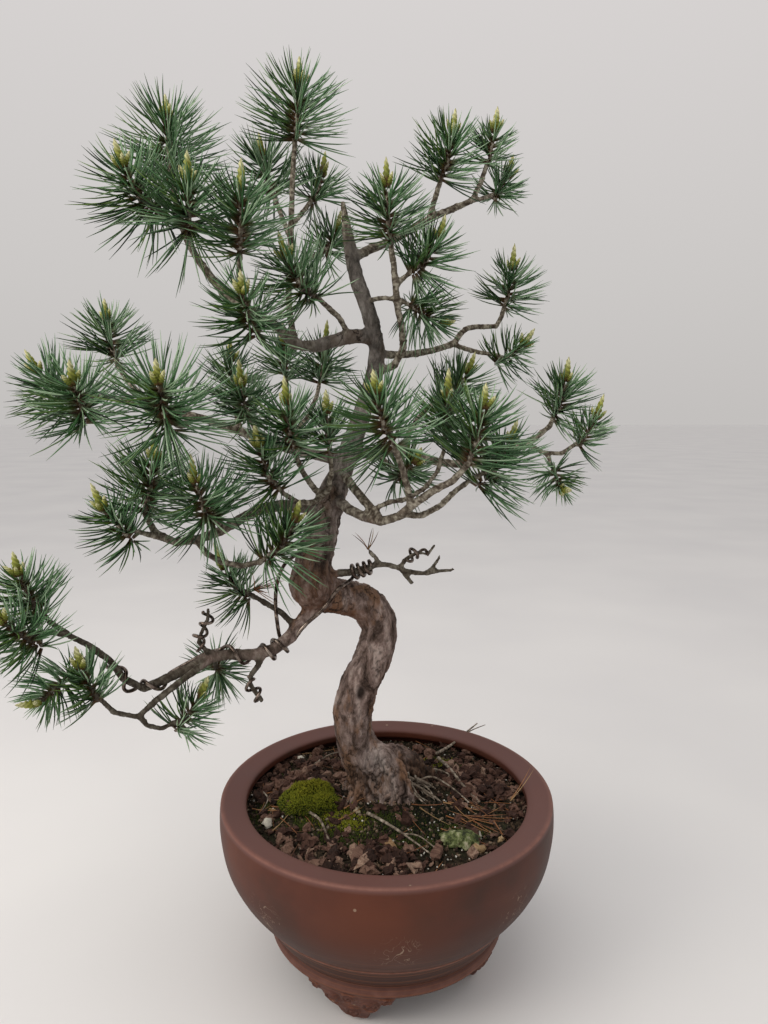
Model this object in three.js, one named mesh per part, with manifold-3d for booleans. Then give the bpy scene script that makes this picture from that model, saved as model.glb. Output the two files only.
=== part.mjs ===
// A five-needle pine trained as a bonsai, in a round unglazed stoneware pot.
// Millimetres, +Z up. The tree leans and branches mostly along X, and -Y is the side it is shown from.
// While it is built, the pot's axis is the Z axis. At the end the whole group is moved so that the origin
// is the middle of the bottom of its bounding box.
import * as THREE from 'three';
import { mergeVertices } from 'three/addons/utils/BufferGeometryUtils.js';
import Module from 'manifold-3d';

// ---- Driving dimensions ----
const GAP = 0.35; // clearance between touching pieces
const POT_RADIUS = 125; // widest part of the wall
const POT_HEIGHT = 135; // table to the crease of the lip
const FOOT_HEIGHT = 31; // table to the underside of the foot ring
const FOOT_COUNT = 4;
const FOOT_TURN = -18; // degrees from the front (-Y) to the first foot
const FOOT_LEAN = 0.5; // how far a foot steps in for each millimetre down
const RING_RADIUS = 87; // outside of the foot ring
const FLOOR_TOP = 45;
const FLOOR_UNDER = 37;
const DRAIN_RADIUS = 12;
const SOIL_EDGE = 121; // soil level at the wall
const SOIL_MIDDLE = 127; // soil level round the trunk
const NEEDLE_BALL = 26; // radius of the solid that stands for a tuft
const NEEDLE_BALL_AHEAD = 8; // how far its middle lies past the shoot's end
const BUD_LENGTH = 7;
const WIRE_RADIUS = 1.3;
const WIRE_CLEAR = 1.45; // from the bark to the wire, as the flats of both are counted in

// ---- Solids ----
const wasm = await Module();
wasm.setup();

function toSolid(geometry) {
  const plain = geometry.clone();
  plain.deleteAttribute('normal');
  plain.deleteAttribute('uv');
  const merged = mergeVertices(plain, 1e-4);
  return new wasm.Manifold(new wasm.Mesh({
    numProp: 3,
    vertProperties: merged.attributes.position.array,
    triVerts: new Uint32Array(merged.index.array),
  }));
}

function toGeometry(solid) {
  const mesh = solid.getMesh();
  const geometry = new THREE.BufferGeometry();
  geometry.setAttribute('position', new THREE.BufferAttribute(mesh.vertProperties, 3));
  geometry.setIndex(new THREE.BufferAttribute(mesh.triVerts, 1));
  geometry.computeVertexNormals();
  return geometry;
}

function joined(solids) {
  return solids.reduce((sum, solid) => sum.add(solid));
}

// The biggest body left after a cut; the others are slivers.
function largest(solid) {
  return solid.decompose().reduce((best, body) => (body.volume() > best.volume() ? body : best));
}

const bonsai = new THREE.Group();

function place(name, solid, finish) {
  const mesh = new THREE.Mesh(toGeometry(solid), new THREE.MeshStandardMaterial(finish));
  mesh.name = name;
  bonsai.add(mesh);
}

const STONEWARE = { color: 0x8a4a3a, roughness: 0.75, metalness: 0 };
const BARK = { color: 0x7b6658, roughness: 0.9, metalness: 0 };
const NEEDLES = { color: 0x3f6b52, roughness: 0.55, metalness: 0 };
const SOIL = { color: 0x4a382e, roughness: 1, metalness: 0 };
const MOSS = { color: 0x6b7f2a, roughness: 1, metalness: 0 };
const STONE = { color: 0x7d8a72, roughness: 0.85, metalness: 0 };
const WIRE = { color: 0x5b4638, roughness: 0.45, metalness: 0.8 };
const PLASTIC = { color: 0x1d1d1f, roughness: 0.5, metalness: 0 };

// ---- Pot ----
const LATHE_SIDES = 36;

// The lathe turns about three's Y axis, so its solid is stood up to turn about Z.
function turned(profile, sides = LATHE_SIDES) {
  return new THREE.LatheGeometry(profile, sides).rotateX(Math.PI / 2);
}

function outline(points) {
  return points.map(([radius, height]) => new THREE.Vector2(radius, height));
}

const outerWall = new THREE.SplineCurve(outline([
  [94, 52], [99, 59.5], [107.5, 69], [115.5, 81], [122, 96], [POT_RADIUS, 114], [POT_RADIUS, 127],
  [POT_RADIUS - 1, POT_HEIGHT],
]));
const innerWall = new THREE.SplineCurve(outline([
  [80, FLOOR_TOP], [90, 54], [99, 66], [107, 81], [112.5, 97], [115.5, 111], [114, 121], [106, 127.5],
]));

function potSolid() {
  const wall = turned([
    ...outline([[DRAIN_RADIUS, FLOOR_UNDER], [78, FLOOR_UNDER], [80, FOOT_HEIGHT],
      [RING_RADIUS, FOOT_HEIGHT], [RING_RADIUS + 2, 34], [RING_RADIUS + 0.7, 40],
      [90, 43], [92.5, 48]]),
    ...outerWall.getPoints(7),
    ...outline([[POT_RADIUS - 2, POT_HEIGHT + 0.6], [107.5, POT_HEIGHT - 1.6], [106, POT_HEIGHT - 3]]),
    ...innerWall.getPoints(6).reverse(),
    ...outline([[DRAIN_RADIUS, FLOOR_TOP], [DRAIN_RADIUS, FLOOR_UNDER]]),
  ]);
  return joined([toSolid(wall), ...Array.from({ length: FOOT_COUNT }, (_, i) => footSolid(i))]);
}

// A foot is a bracket with scalloped sides that narrow to a rounded toe. It is bent round the foot ring and
// leans in towards the table.
function footSolid(index) {
  const half = 34;
  const sole = 9;
  const thickness = 14;
  const lean = FOOT_LEAN;
  const shape = new THREE.Shape();
  shape.moveTo(-half, FLOOR_UNDER + 0.5);
  shape.lineTo(-half, FOOT_HEIGHT - 1);
  shape.quadraticCurveTo(-half + 1, 23, -26, 22);
  shape.quadraticCurveTo(-23, 13, -17, 11);
  shape.quadraticCurveTo(-14, 3, -sole, 0);
  shape.lineTo(sole, 0);
  shape.quadraticCurveTo(14, 3, 17, 11);
  shape.quadraticCurveTo(23, 13, 26, 22);
  shape.quadraticCurveTo(half - 1, 23, half, FOOT_HEIGHT - 1);
  shape.lineTo(half, FLOOR_UNDER + 0.5);
  const foot = new THREE.ExtrudeGeometry(shape, { depth: thickness, bevelEnabled: false, curveSegments: 3 });
  const middle = THREE.MathUtils.degToRad(FOOT_TURN + index * 360 / FOOT_COUNT);
  const position = foot.attributes.position;
  for (let i = 0; i < position.count; i += 1) {
    const height = position.getY(i);
    const angle = middle + position.getX(i) / RING_RADIUS;
    const inset = lean * Math.max(0, FOOT_HEIGHT - height);
    const radius = RING_RADIUS - thickness + position.getZ(i) - inset;
    position.setXYZ(i, radius * Math.sin(angle), -radius * Math.cos(angle), height);
  }
  return toSolid(foot);
}

place('pot', potSolid(), STONEWARE);

// ---- Drain mesh and the wire clip that holds it over the hole ----
const MESH_HOLES = 5;
const MESH_HOLE = 5.2;
const MESH_BAR = 2.4;
const MESH_THICKNESS = 1.2;
const MESH_PITCH = MESH_HOLE + MESH_BAR;
const MESH_SIDE = MESH_HOLES * MESH_PITCH + MESH_BAR;
const CLIP_RADIUS = 0.9;

// A square grid of flat bars.
function drainMesh() {
  const bars = [];
  for (let i = 0; i <= MESH_HOLES; i += 1) {
    const across = (i - MESH_HOLES / 2) * MESH_PITCH;
    const bar = new THREE.BoxGeometry(MESH_SIDE, MESH_BAR, MESH_THICKNESS).translate(0, across, 0);
    bars.push(toSolid(bar), toSolid(bar.clone().rotateZ(Math.PI / 2)));
  }
  return joined(bars).translate([0, 0, FLOOR_TOP + GAP + MESH_THICKNESS / 2]);
}

function curveThrough(points) {
  const corners = points.map((point) => new THREE.Vector3(...point));
  return new THREE.CatmullRomCurve3(corners, false, 'centripetal');
}

// Round wire along a curve.
function wireSolid(curve, radius, steps, sides = 5) {
  const section = new THREE.Shape();
  for (let i = 0; i < sides; i += 1) {
    const angle = 2 * Math.PI * i / sides;
    const x = radius * Math.cos(angle);
    const y = radius * Math.sin(angle);
    if (i === 0) section.moveTo(x, y);
    else section.lineTo(x, y);
  }
  return toSolid(new THREE.ExtrudeGeometry(section, { extrudePath: curve, steps, bevelEnabled: false }));
}

function clipSolid(radius) {
  const over = FLOOR_TOP + MESH_THICKNESS + 2 * GAP + CLIP_RADIUS;
  const under = FLOOR_UNDER - GAP - CLIP_RADIUS;
  const leg = MESH_PITCH;
  const reach = DRAIN_RADIUS + 10;
  return wireSolid(curveThrough([
    [-reach, 0, under - 1], [-leg - 2, 0, under - 0.6], [-leg, 0, under + 2], [-leg, 0, over - 2],
    [-leg + 2, 0, over], [leg - 2, 0, over], [leg, 0, over - 2], [leg, 0, under + 2],
    [leg + 2, 0, under - 0.6], [reach, 0, under - 1],
  ]), radius, 20);
}

place('drain_mesh', drainMesh(), PLASTIC);
place('drain_mesh_clip', clipSolid(CLIP_RADIUS), WIRE);

// ---- Wood ----
// A limb is a tapered round stem. Its points are its centre line, its radii are spread evenly over them.
// A living shoot ends in a bud, drawn as a point; a dead or cut one ends flat.
function stemSolid({ points, radii, sides = 6, spacing = 15, bud = false }, extra = 0) {
  const curve = curveThrough(points);
  const steps = Math.max(3, Math.round(curve.getLength() / spacing));
  const frames = curve.computeFrenetFrames(steps);
  const stem = new THREE.CylinderGeometry(1, 1, 1, sides, steps);
  const position = stem.attributes.position;
  for (let i = 0; i < position.count; i += 1) {
    const step = Math.round((position.getY(i) + 0.5) * steps);
    const along = step / steps;
    const radius = radiusAt(radii, curve.getUtoTmapping(along)) + extra;
    const atAxis = Math.hypot(position.getX(i), position.getZ(i)) < 0.5;
    const point = curve.getPointAt(along)
      .addScaledVector(frames.normals[step], position.getX(i) * radius)
      .addScaledVector(frames.binormals[step], -position.getZ(i) * radius);
    if (bud && atAxis && step === steps) point.addScaledVector(frames.tangents[step], BUD_LENGTH);
    position.setXYZ(i, point.x, point.y, point.z);
  }
  return toSolid(stem);
}

function radiusAt(radii, share) {
  const place = share * (radii.length - 1);
  const low = Math.min(Math.floor(place), radii.length - 2);
  return THREE.MathUtils.lerp(radii[low], radii[low + 1], place - low);
}

const trunkLimbs = [
  {
    points: [
      [-4, 14, 98], [-8, 13, 116], [-11, 12, 132], [-18, 9, 150], [-24, 5, 172], [-26, 2, 195],
      [-20, 2, 218], [-9, 4, 240], [-5, 6, 260], [-14, 4, 277], [-33, -5, 286], [-49, -15, 293],
      [-53, -20, 308], [-50, -20, 322], [-46, -15, 340], [-40, -9, 360], [-30, -1, 384],
      [-21, 4, 410], [-12, 6, 437], [-7, 8, 464], [-13, 10, 491], [-22, 10, 516], [-27, 10, 541],
      [-31, 8, 567],
    ],
    radii: [
      20, 25, 21, 16.5, 15, 15, 14.5, 14, 14, 13.5, 13, 13.5,
      14, 13, 12, 10.5, 8.2, 6.8, 6.2, 6, 5.6, 5.2, 4.2, 1.3,
    ],
    sides: 12,
    spacing: 11,
  },
  // Roots, from the flare down into the soil.
  { points: [[-8, 10, 140], [8, 7, 129], [26, 3, 118], [42, -2, 104]], radii: [13, 10, 7, 4], sides: 7 },
  { points: [[-12, 8, 140], [-24, -4, 126], [-36, -16, 112]], radii: [12, 8, 4], sides: 7 },
  { points: [[-5, 8, 136], [-2, -10, 122], [4, -26, 108]], radii: [11, 8, 4], sides: 7 },
  { points: [[-8, 16, 138], [-12, 34, 122], [-18, 50, 106]], radii: [12, 8, 4], sides: 7 },
  { points: [[-14, 12, 136], [-34, 16, 121], [-52, 18, 108]], radii: [11, 7, 4], sides: 7 },
  { points: [[2, 22, 128], [20, 34, 131], [38, 40, 127], [52, 46, 118]], radii: [6, 4.5, 3.2, 2.4] },
  // The raised root crown at the right of the trunk: a lobe in front and a broad mound behind it.
  { points: [[-14, 4, 168], [0, 0, 158], [10, -4, 142], [13, -6, 118]], radii: [7, 8.5, 9.5, 10], sides: 8 },
  { points: [[-12, 14, 152], [6, 20, 148], [24, 24, 138], [40, 26, 120]], radii: [11, 13, 11, 8], sides: 8 },
];

// The knuckle is the healed stump where the trunk was cut back and a side shoot took over.
function knuckleSolid(extra) {
  const knuckle = new THREE.SphereGeometry(1, 10, 7);
  const radius = 17 + extra;
  return toSolid(knuckle.scale(radius, radius * 0.95, radius * 1.1).translate(-53, -21, 299));
}

function trunkSolid(extra = 0) {
  return joined([...trunkLimbs.map((limb) => stemSolid(limb, extra)), knuckleSolid(extra)]);
}

const trunk = trunkSolid();
const aroundTrunk = trunkSolid(GAP);
place('trunk', trunk, BARK);

// Every branch: its own limbs, the first one leaving the trunk. A limb with a needles name carries a tuft
// whose solid is modelled; the other living shoots are short ones inside their neighbours' foliage.
const branches = {
  branch_low_left: [
    {
      points: [
        [-52, -18, 284], [-64, -30, 268], [-73, -38, 260], [-86, -43, 255], [-108, -47, 256],
        [-123, -50, 254], [-138, -54, 246], [-152, -58, 241], [-166, -61, 237], [-176, -62, 245],
        [-183, -63, 257], [-196, -66, 269], [-209, -70, 278], [-219, -72, 288], [-225, -74, 298],
      ],
      radii: [6, 5, 4.3, 4, 3.7, 3.5, 3.2, 3, 2.7, 2.5, 2.2, 2, 1.8, 1.7, 1.6],
      sides: 8,
      bud: true,
      needles: 'needles_low_left_tip',
    },
    {
      points: [
        [-117, -49, 255], [-130, -62, 248], [-142, -71, 240], [-153, -77, 232], [-161, -80, 225],
        [-171, -82, 227], [-178, -85, 234], [-183, -87, 242],
      ],
      radii: [2.6, 2.2, 1.9, 1.6],
      bud: true,
      needles: 'needles_low_left_under',
    },
    {
      points: [[-160, -79, 226], [-156, -75, 217], [-148, -70, 213], [-140, -66, 216]],
      radii: [1.9, 1.6],
      bud: true,
      needles: 'needles_low_left_drop',
    },
    {
      points: [[-191, -65, 266], [-198, -74, 258], [-204, -84, 252]],
      radii: [2, 1.6],
      bud: true,
      needles: 'needles_low_left_front',
    },
    {
      points: [[-206, -69, 276], [-212, -80, 281], [-220, -90, 283]],
      radii: [1.8, 1.6],
      bud: true,
      needles: 'needles_low_left_back',
    },
    { points: [[-119, -48, 255], [-120, -38, 247], [-121, -28, 240]], radii: [1.8, 1.6], bud: true },
    {
      points: [
        [-116, -49, 257], [-123, -54, 262], [-126, -57, 269], [-122, -58, 277], [-119, -57, 284],
        [-119, -56, 291],
      ],
      radii: [2, 1.5, 1.2],
      spacing: 8,
    },
    {
      points: [[-86, -43, 254], [-89, -49, 246], [-94, -53, 241], [-89, -56, 233], [-84, -56, 226]],
      radii: [2.4, 1.8, 1.6],
      spacing: 8,
    },
    {
      points: [[-63, -29, 269], [-74, -28, 280], [-88, -26, 288], [-101, -24, 295]],
      radii: [2.6, 2, 1.7],
      bud: true,
      needles: 'needles_low_inner',
    },
  ],
  branch_low_right_dead: [
    {
      points: [
        [-46, -16, 303], [-36, -22, 307], [-24, -27, 309], [-14, -28, 312], [-5, -28, 315],
        [5, -27, 313], [15, -25, 309], [25, -23, 307], [36, -20, 308], [48, -18, 309],
      ],
      radii: [3.4, 3, 2.7, 2.4, 2.1, 1.9, 1.7, 1.6, 1.4, 1.2],
      spacing: 7,
    },
    { points: [[-5, -28, 315], [-8, -30, 320], [-13, -32, 326]], radii: [1.6, 1.2] },
    {
      points: [[9, -26, 312], [13, -28, 318], [20, -28, 323], [28, -25, 321], [34, -23, 328]],
      radii: [1.8, 1.5, 1.1],
      spacing: 8,
    },
    { points: [[27, -22, 307], [33, -19, 311], [38, -17, 319]], radii: [1.5, 1.1] },
    { points: [[10, -26, 311], [14, -25, 305], [18, -24, 300]], radii: [1.8, 1.5] },
  ],
  branch_mid_left: [
    {
      points: [
        [-48, -16, 350], [-62, -27, 356], [-88, -37, 354], [-111, -45, 341], [-127, -50, 336],
        [-142, -54, 335], [-153, -57, 343], [-158, -58, 357], [-154, -60, 369],
      ],
      radii: [5, 4.2, 3.6, 3.2, 2.9, 2.6, 2.3, 2, 1.8],
      sides: 8,
      bud: true,
      needles: 'needles_mid_left',
    },
    {
      points: [[-144, -54, 336], [-154, -62, 341], [-164, -70, 346]],
      radii: [2, 1.6],
      bud: true,
      needles: 'needles_mid_left_side',
    },
    {
      points: [[-127, -50, 336], [-119, -57, 328], [-107, -62, 323], [-93, -64, 321], [-80, -66, 325],
        [-71, -67, 333]],
      radii: [2.2, 2, 1.6],
      bud: true,
      needles: 'needles_mid_left_loop',
    },
    {
      points: [[-108, -44, 342], [-112, -58, 350], [-115, -70, 360]],
      radii: [2.2, 1.7],
      bud: true,
    },
  ],
  branch_left_whorl: [
    {
      points: [[-43, -9, 360], [-46, -24, 362], [-41, -36, 366], [-37, -43, 374], [-37, -47, 386],
        [-38, -49, 398]],
      radii: [4.2, 3.4, 2.2, 1.9, 1.8, 1.7],
      bud: true,
      needles: 'needles_whorl_upper',
    },
    {
      points: [[-46, -26, 363], [-51, -41, 372], [-56, -50, 382], [-59, -56, 392], [-61, -61, 404]],
      radii: [2.4, 1.9, 1.7],
      bud: true,
      needles: 'needles_whorl_left',
    },
    {
      points: [[-46, -24, 361], [-51, -38, 359], [-61, -47, 361], [-70, -53, 369], [-75, -56, 378]],
      radii: [2.4, 1.9, 1.7],
      bud: true,
      needles: 'needles_whorl_low',
    },
  ],
  branch_back_left: [
    {
      points: [
        [-31, 0, 384], [-46, 13, 388], [-66, 22, 391], [-92, 26, 399], [-116, 24, 408],
        [-138, 16, 416], [-158, 4, 422], [-175, -8, 427], [-190, -16, 430], [-205, -22, 431],
        [-218, -26, 434],
      ],
      radii: [5, 4.4, 3.9, 3.5, 3.1, 2.8, 2.5, 2.2, 2, 1.8, 1.7],
      sides: 8,
      bud: true,
      needles: 'needles_far_left',
    },
    {
      points: [[-168, -2, 425], [-186, 10, 440], [-197, 15, 455], [-201, 18, 467]],
      radii: [2.4, 1.8],
      bud: true,
      needles: 'needles_far_left_upper',
    },
    { points: [[-198, -19, 430], [-198, -38, 424], [-196, -54, 426]], radii: [1.9, 1.6], bud: true },
    {
      points: [[-142, 13, 417], [-140, -24, 411], [-137, -58, 414], [-134, -86, 423]],
      radii: [2.8, 2.3, 1.9],
      bud: true,
      needles: 'needles_left_big',
    },
    {
      points: [[-110, 25, 406], [-117, 42, 424], [-120, 50, 440]],
      radii: [2.4, 1.8],
      bud: true,
      needles: 'needles_left_rear',
    },
    { points: [[-94, 26, 400], [-96, 0, 410], [-97, -18, 421]], radii: [2.2, 1.7], bud: true },
    {
      points: [[-62, 21, 390], [-72, 38, 412], [-77, 47, 434], [-79, 52, 451]],
      radii: [2.6, 2, 1.7],
      bud: true,
      needles: 'needles_centre_rear',
    },
    { points: [[-69, 32, 405], [-56, 36, 424], [-50, 36, 448]], radii: [2, 1.7], bud: true },
  ],
  branch_front_right: [
    {
      points: [
        [-36, -6, 362], [-32, -24, 357], [-22, -35, 352], [-7, -46, 348], [3, -52, 349],
        [13, -58, 357], [26, -62, 368], [37, -64, 373], [47, -66, 381], [53, -66, 391],
        [56, -66, 401],
      ],
      radii: [4.2, 3.7, 3.4, 3.2, 3, 2.8, 2.6, 2.4, 2.1, 1.9, 1.7],
      sides: 8,
      bud: true,
      needles: 'needles_front_right',
    },
    {
      points: [[-31, -2, 386], [-30, -17, 376], [-22, -27, 367], [-14, -36, 359], [-5, -45, 350]],
      radii: [3.4, 3, 2.8],
      sides: 8,
    },
    {
      points: [[9, -56, 354], [22, -52, 352], [35, -48, 358], [48, -44, 370], [55, -42, 376],
        [63, -40, 376], [70, -40, 382]],
      radii: [2.4, 2.1, 1.9, 1.7],
      bud: true,
    },
    {
      points: [[15, -59, 359], [13, -67, 373], [9, -73, 386], [4, -79, 400], [-1, -84, 411]],
      radii: [2.4, 2.2, 2, 1.8],
      bud: true,
      needles: 'needles_front_centre',
    },
    {
      points: [[-10, -42, 355], [3, -48, 361], [15, -44, 363], [24, -40, 368], [33, -37, 378],
        [38, -36, 393], [39, -39, 408]],
      radii: [1.8, 1.6],
      bud: true,
      needles: 'needles_front_inner',
    },
  ],
  branch_long_right: [
    {
      points: [
        [-27, 1, 386], [-8, 8, 392], [6, 12, 392], [16, 15, 389], [30, 18, 385], [45, 20, 382],
        [57, 22, 381], [73, 24, 384], [93, 26, 392], [106, 28, 397], [117, 30, 403],
        [126, 32, 412], [130, 32, 423],
      ],
      radii: [4.4, 4, 3.6, 3.4, 3.2, 3, 2.8, 2.7, 2.5, 2.3, 2.1, 1.9, 1.7],
      sides: 8,
      bud: true,
      needles: 'needles_far_right',
    },
    {
      points: [[106, 28, 397], [115, 23, 391], [124, 20, 388], [134, 18, 391], [142, 16, 398]],
      radii: [2, 1.6],
      bud: true,
      needles: 'needles_far_right_side',
    },
    { points: [[120, 21, 389], [122, 16, 383], [123, 10, 378]], radii: [1.6, 1.5], bud: true },
    {
      points: [[12, 14, 390], [18, 20, 408], [32, 26, 424], [47, 28, 433]],
      radii: [2.4, 2, 1.7],
      bud: true,
      needles: 'needles_right_inner',
    },
    { points: [[-6, 8, 392], [0, -4, 384], [8, -16, 380]], radii: [1.9, 1.6], bud: true },
  ],
  branch_back_right: [
    {
      points: [
        [-7, 8, 462], [6, 22, 462], [20, 36, 464], [38, 46, 468], [54, 54, 475], [60, 57, 484],
        [73, 60, 487], [86, 60, 487], [91, 60, 497], [94, 60, 509],
      ],
      radii: [3.2, 3, 2.8, 2.6, 2.4, 2.3, 2.1, 2, 1.8, 1.7],
      spacing: 8,
      bud: true,
      needles: 'needles_back_right',
    },
    {
      points: [[50, 52, 473], [68, 51, 467], [86, 48, 464]],
      radii: [2, 1.7],
      bud: true,
      needles: 'needles_back_right_low',
    },
  ],
  branch_right_vertical: [
    {
      points: [
        [-7, 7, 448], [4, 3, 452], [11, -1, 462], [11, -6, 476], [7, -10, 493], [5, -14, 517],
        [2, -16, 535], [1, -18, 547],
      ],
      radii: [3.2, 2.9, 2.7, 2.5, 2.4, 2.2, 2, 1.8],
      bud: true,
      needles: 'needles_right_vertical',
    },
    {
      points: [[6, -12, 505], [13, -10, 513], [23, -8, 521]],
      radii: [1.9, 1.6],
      bud: true,
      needles: 'needles_right_vertical_side',
    },
    {
      points: [[-14, 10, 499], [-4, -3, 499], [7, -10, 497], [14, -6, 495], [21, -2, 491]],
      radii: [1.8, 1.7],
      spacing: 7,
      bud: true,
      needles: 'needles_right_short',
    },
  ],
  branch_upper_right: [
    {
      points: [
        [-25, 10, 528], [-17, 16, 534], [-2, 22, 541], [16, 27, 551], [32, 30, 561],
        [50, 34, 569], [64, 36, 576], [70, 36, 590], [74, 36, 602],
      ],
      radii: [3.8, 3.5, 3.2, 3, 2.8, 2.5, 2.2, 1.9, 1.7],
      bud: true,
      needles: 'needles_upper_right_tip',
    },
    {
      points: [[31, 30, 560], [36, 26, 577], [42, 22, 595]],
      radii: [2.2, 1.7],
      bud: true,
      needles: 'needles_upper_right',
    },
    { points: [[62, 36, 575], [72, 42, 578], [80, 48, 583]], radii: [1.9, 1.6], bud: true },
  ],
  branch_upper_left: [
    {
      points: [
        [-9, 9, 474], [-27, 0, 473], [-44, -8, 467], [-60, -14, 464], [-70, -16, 474],
        [-90, -14, 487], [-112, -10, 501], [-124, -8, 516], [-136, -8, 534], [-143, -6, 556],
        [-147, -4, 577], [-149, -2, 598],
      ],
      radii: [5.4, 5, 4.6, 4.2, 3.7, 3.3, 3, 2.7, 2.4, 2.2, 2, 1.8],
      sides: 8,
      bud: true,
      needles: 'needles_top_left',
    },
    {
      points: [[-62, -14, 465], [-68, 0, 484], [-70, 8, 512], [-68, 10, 541], [-67, 10, 568],
        [-65, 8, 595], [-62, 6, 621]],
      radii: [2.6, 2.4, 2.3, 2.2, 2.1, 1.9, 1.8],
      bud: true,
      needles: 'needles_leader',
    },
    {
      points: [[-140, -7, 547], [-150, -22, 551], [-158, -34, 558]],
      radii: [1.9, 1.6],
      bud: true,
      needles: 'needles_left_shoulder',
    },
    { points: [[-133, -8, 530], [-130, -28, 536], [-126, -44, 545]], radii: [1.9, 1.6], bud: true },
    {
      points: [[-100, -12, 494], [-97, -34, 508], [-94, -46, 521], [-92, -52, 534]],
      radii: [2.2, 1.8],
      bud: true,
      needles: 'needles_upper_centre',
    },
    {
      points: [[-68, 10, 541], [-78, 22, 566], [-86, 29, 586]],
      radii: [1.9, 1.7],
      bud: true,
      needles: 'needles_upper_rear',
    },
    {
      points: [[-68, 10, 550], [-60, 28, 566], [-54, 38, 578]],
      radii: [1.9, 1.7],
      bud: true,
      needles: 'needles_leader_side',
    },
    { points: [[-70, 8, 520], [-56, 26, 532], [-46, 42, 542]], radii: [1.8, 1.6], bud: true },
    { points: [[-84, -14, 484], [-87, -34, 476], [-88, -48, 480]], radii: [1.9, 1.6], bud: true },
    {
      points: [[-26, 0, 473], [-34, -10, 486], [-45, -20, 495], [-55, -28, 503]],
      radii: [2.2, 1.7],
      bud: true,
      needles: 'needles_shoulder',
    },
  ],
};

const grownBranches = [];
for (const [name, limbs] of Object.entries(branches)) {
  const whole = joined(limbs.map((limb) => stemSolid(limb)));
  place(name, largest(whole.subtract(aroundTrunk)), BARK);
  grownBranches.push(joined(limbs.map((limb) => stemSolid(limb, GAP))));
}
const aroundWood = joined([aroundTrunk, ...grownBranches]);

// ---- Needle tufts ----
// A tuft stands round the end of its shoot. Each solid is a ball no bigger than its neighbours allow.
const tufts = Object.values(branches).flat().filter((limb) => limb.needles).map((limb) => {
  const curve = curveThrough(limb.points);
  return {
    name: limb.needles,
    centre: curve.getPointAt(1).addScaledVector(curve.getTangentAt(1), NEEDLE_BALL_AHEAD),
  };
});
for (const tuft of tufts) {
  const others = tufts.filter((other) => other !== tuft);
  const nearest = Math.min(...others.map((other) => other.centre.distanceTo(tuft.centre)));
  const radius = Math.min(NEEDLE_BALL, nearest / 2 - GAP);
  const ball = new THREE.SphereGeometry(radius, 6, 5).translate(...tuft.centre);
  place(tuft.name, largest(toSolid(ball).subtract(aroundWood)), NEEDLES);
}

// ---- Soil, moss and stone ----
function soilOutline(extra) {
  const side = innerWall.getPoints(6).filter((point) => point.y < SOIL_EDGE);
  return [
    new THREE.Vector2(0, FLOOR_TOP + GAP),
    ...side.map((point) => new THREE.Vector2(point.x - GAP - 0.3, point.y + GAP)),
    new THREE.Vector2(112.5, SOIL_EDGE + extra),
    new THREE.Vector2(90, (SOIL_EDGE + SOIL_MIDDLE) / 2 + extra),
    new THREE.Vector2(45, SOIL_MIDDLE + extra),
    new THREE.Vector2(0, SOIL_MIDDLE + 1 + extra),
  ];
}

function soilSolid() {
  const pocket = new THREE.BoxGeometry(MESH_SIDE + 2 * GAP, MESH_SIDE + 2 * GAP, 2 * (MESH_THICKNESS + 2 * GAP));
  return toSolid(turned(soilOutline(0)))
    .subtract(toSolid(pocket.translate(0, 0, FLOOR_TOP)))
    .subtract(clipSolid(CLIP_RADIUS + GAP))
    .subtract(aroundTrunk);
}

const aroundSoil = toSolid(turned(soilOutline(GAP)));
place('soil', largest(soilSolid()), SOIL);

function mossSolid() {
  const mound = new THREE.SphereGeometry(1, 12, 6).scale(24, 19, 13).translate(-58, -10, SOIL_MIDDLE);
  return toSolid(mound).subtract(aroundSoil).subtract(aroundTrunk);
}

function flatStoneSolid() {
  const stone = new THREE.IcosahedronGeometry(1, 1).scale(15, 9, 7).rotateZ(0.15);
  return toSolid(stone.translate(50, -57, SOIL_MIDDLE - 1)).subtract(aroundSoil);
}

place('moss_mound', largest(mossSolid()), MOSS);
place('flat_stone', largest(flatStoneSolid()), STONE);

// ---- Training wire ----
// Turns of wire round a limb: its points lie on a helix that keeps clear of the bark.
function turnsRound(limb, from, to, turns, start, wireRadius) {
  const perTurn = 8;
  const curve = curveThrough(limb.points);
  const count = Math.max(2, Math.round(turns * perTurn));
  const frameSteps = 200;
  const frames = curve.computeFrenetFrames(frameSteps);
  return Array.from({ length: count + 1 }, (_, i) => {
    const along = THREE.MathUtils.lerp(from, to, i / count);
    const frame = Math.round(along * frameSteps);
    const angle = start + 2 * Math.PI * turns * i / count;
    const clear = radiusAt(limb.radii, curve.getUtoTmapping(along)) + wireRadius + WIRE_CLEAR;
    return curve.getPointAt(along)
      .addScaledVector(frames.normals[frame], clear * Math.cos(angle))
      .addScaledVector(frames.binormals[frame], clear * Math.sin(angle));
  });
}

function wireThrough(points, wireRadius, stepsPerPoint = 1) {
  const corners = points.map((point) => (point.isVector3 ? point.toArray() : point));
  return wireSolid(curveThrough(corners), wireRadius, Math.round(points.length * stepsPerPoint));
}

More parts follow.
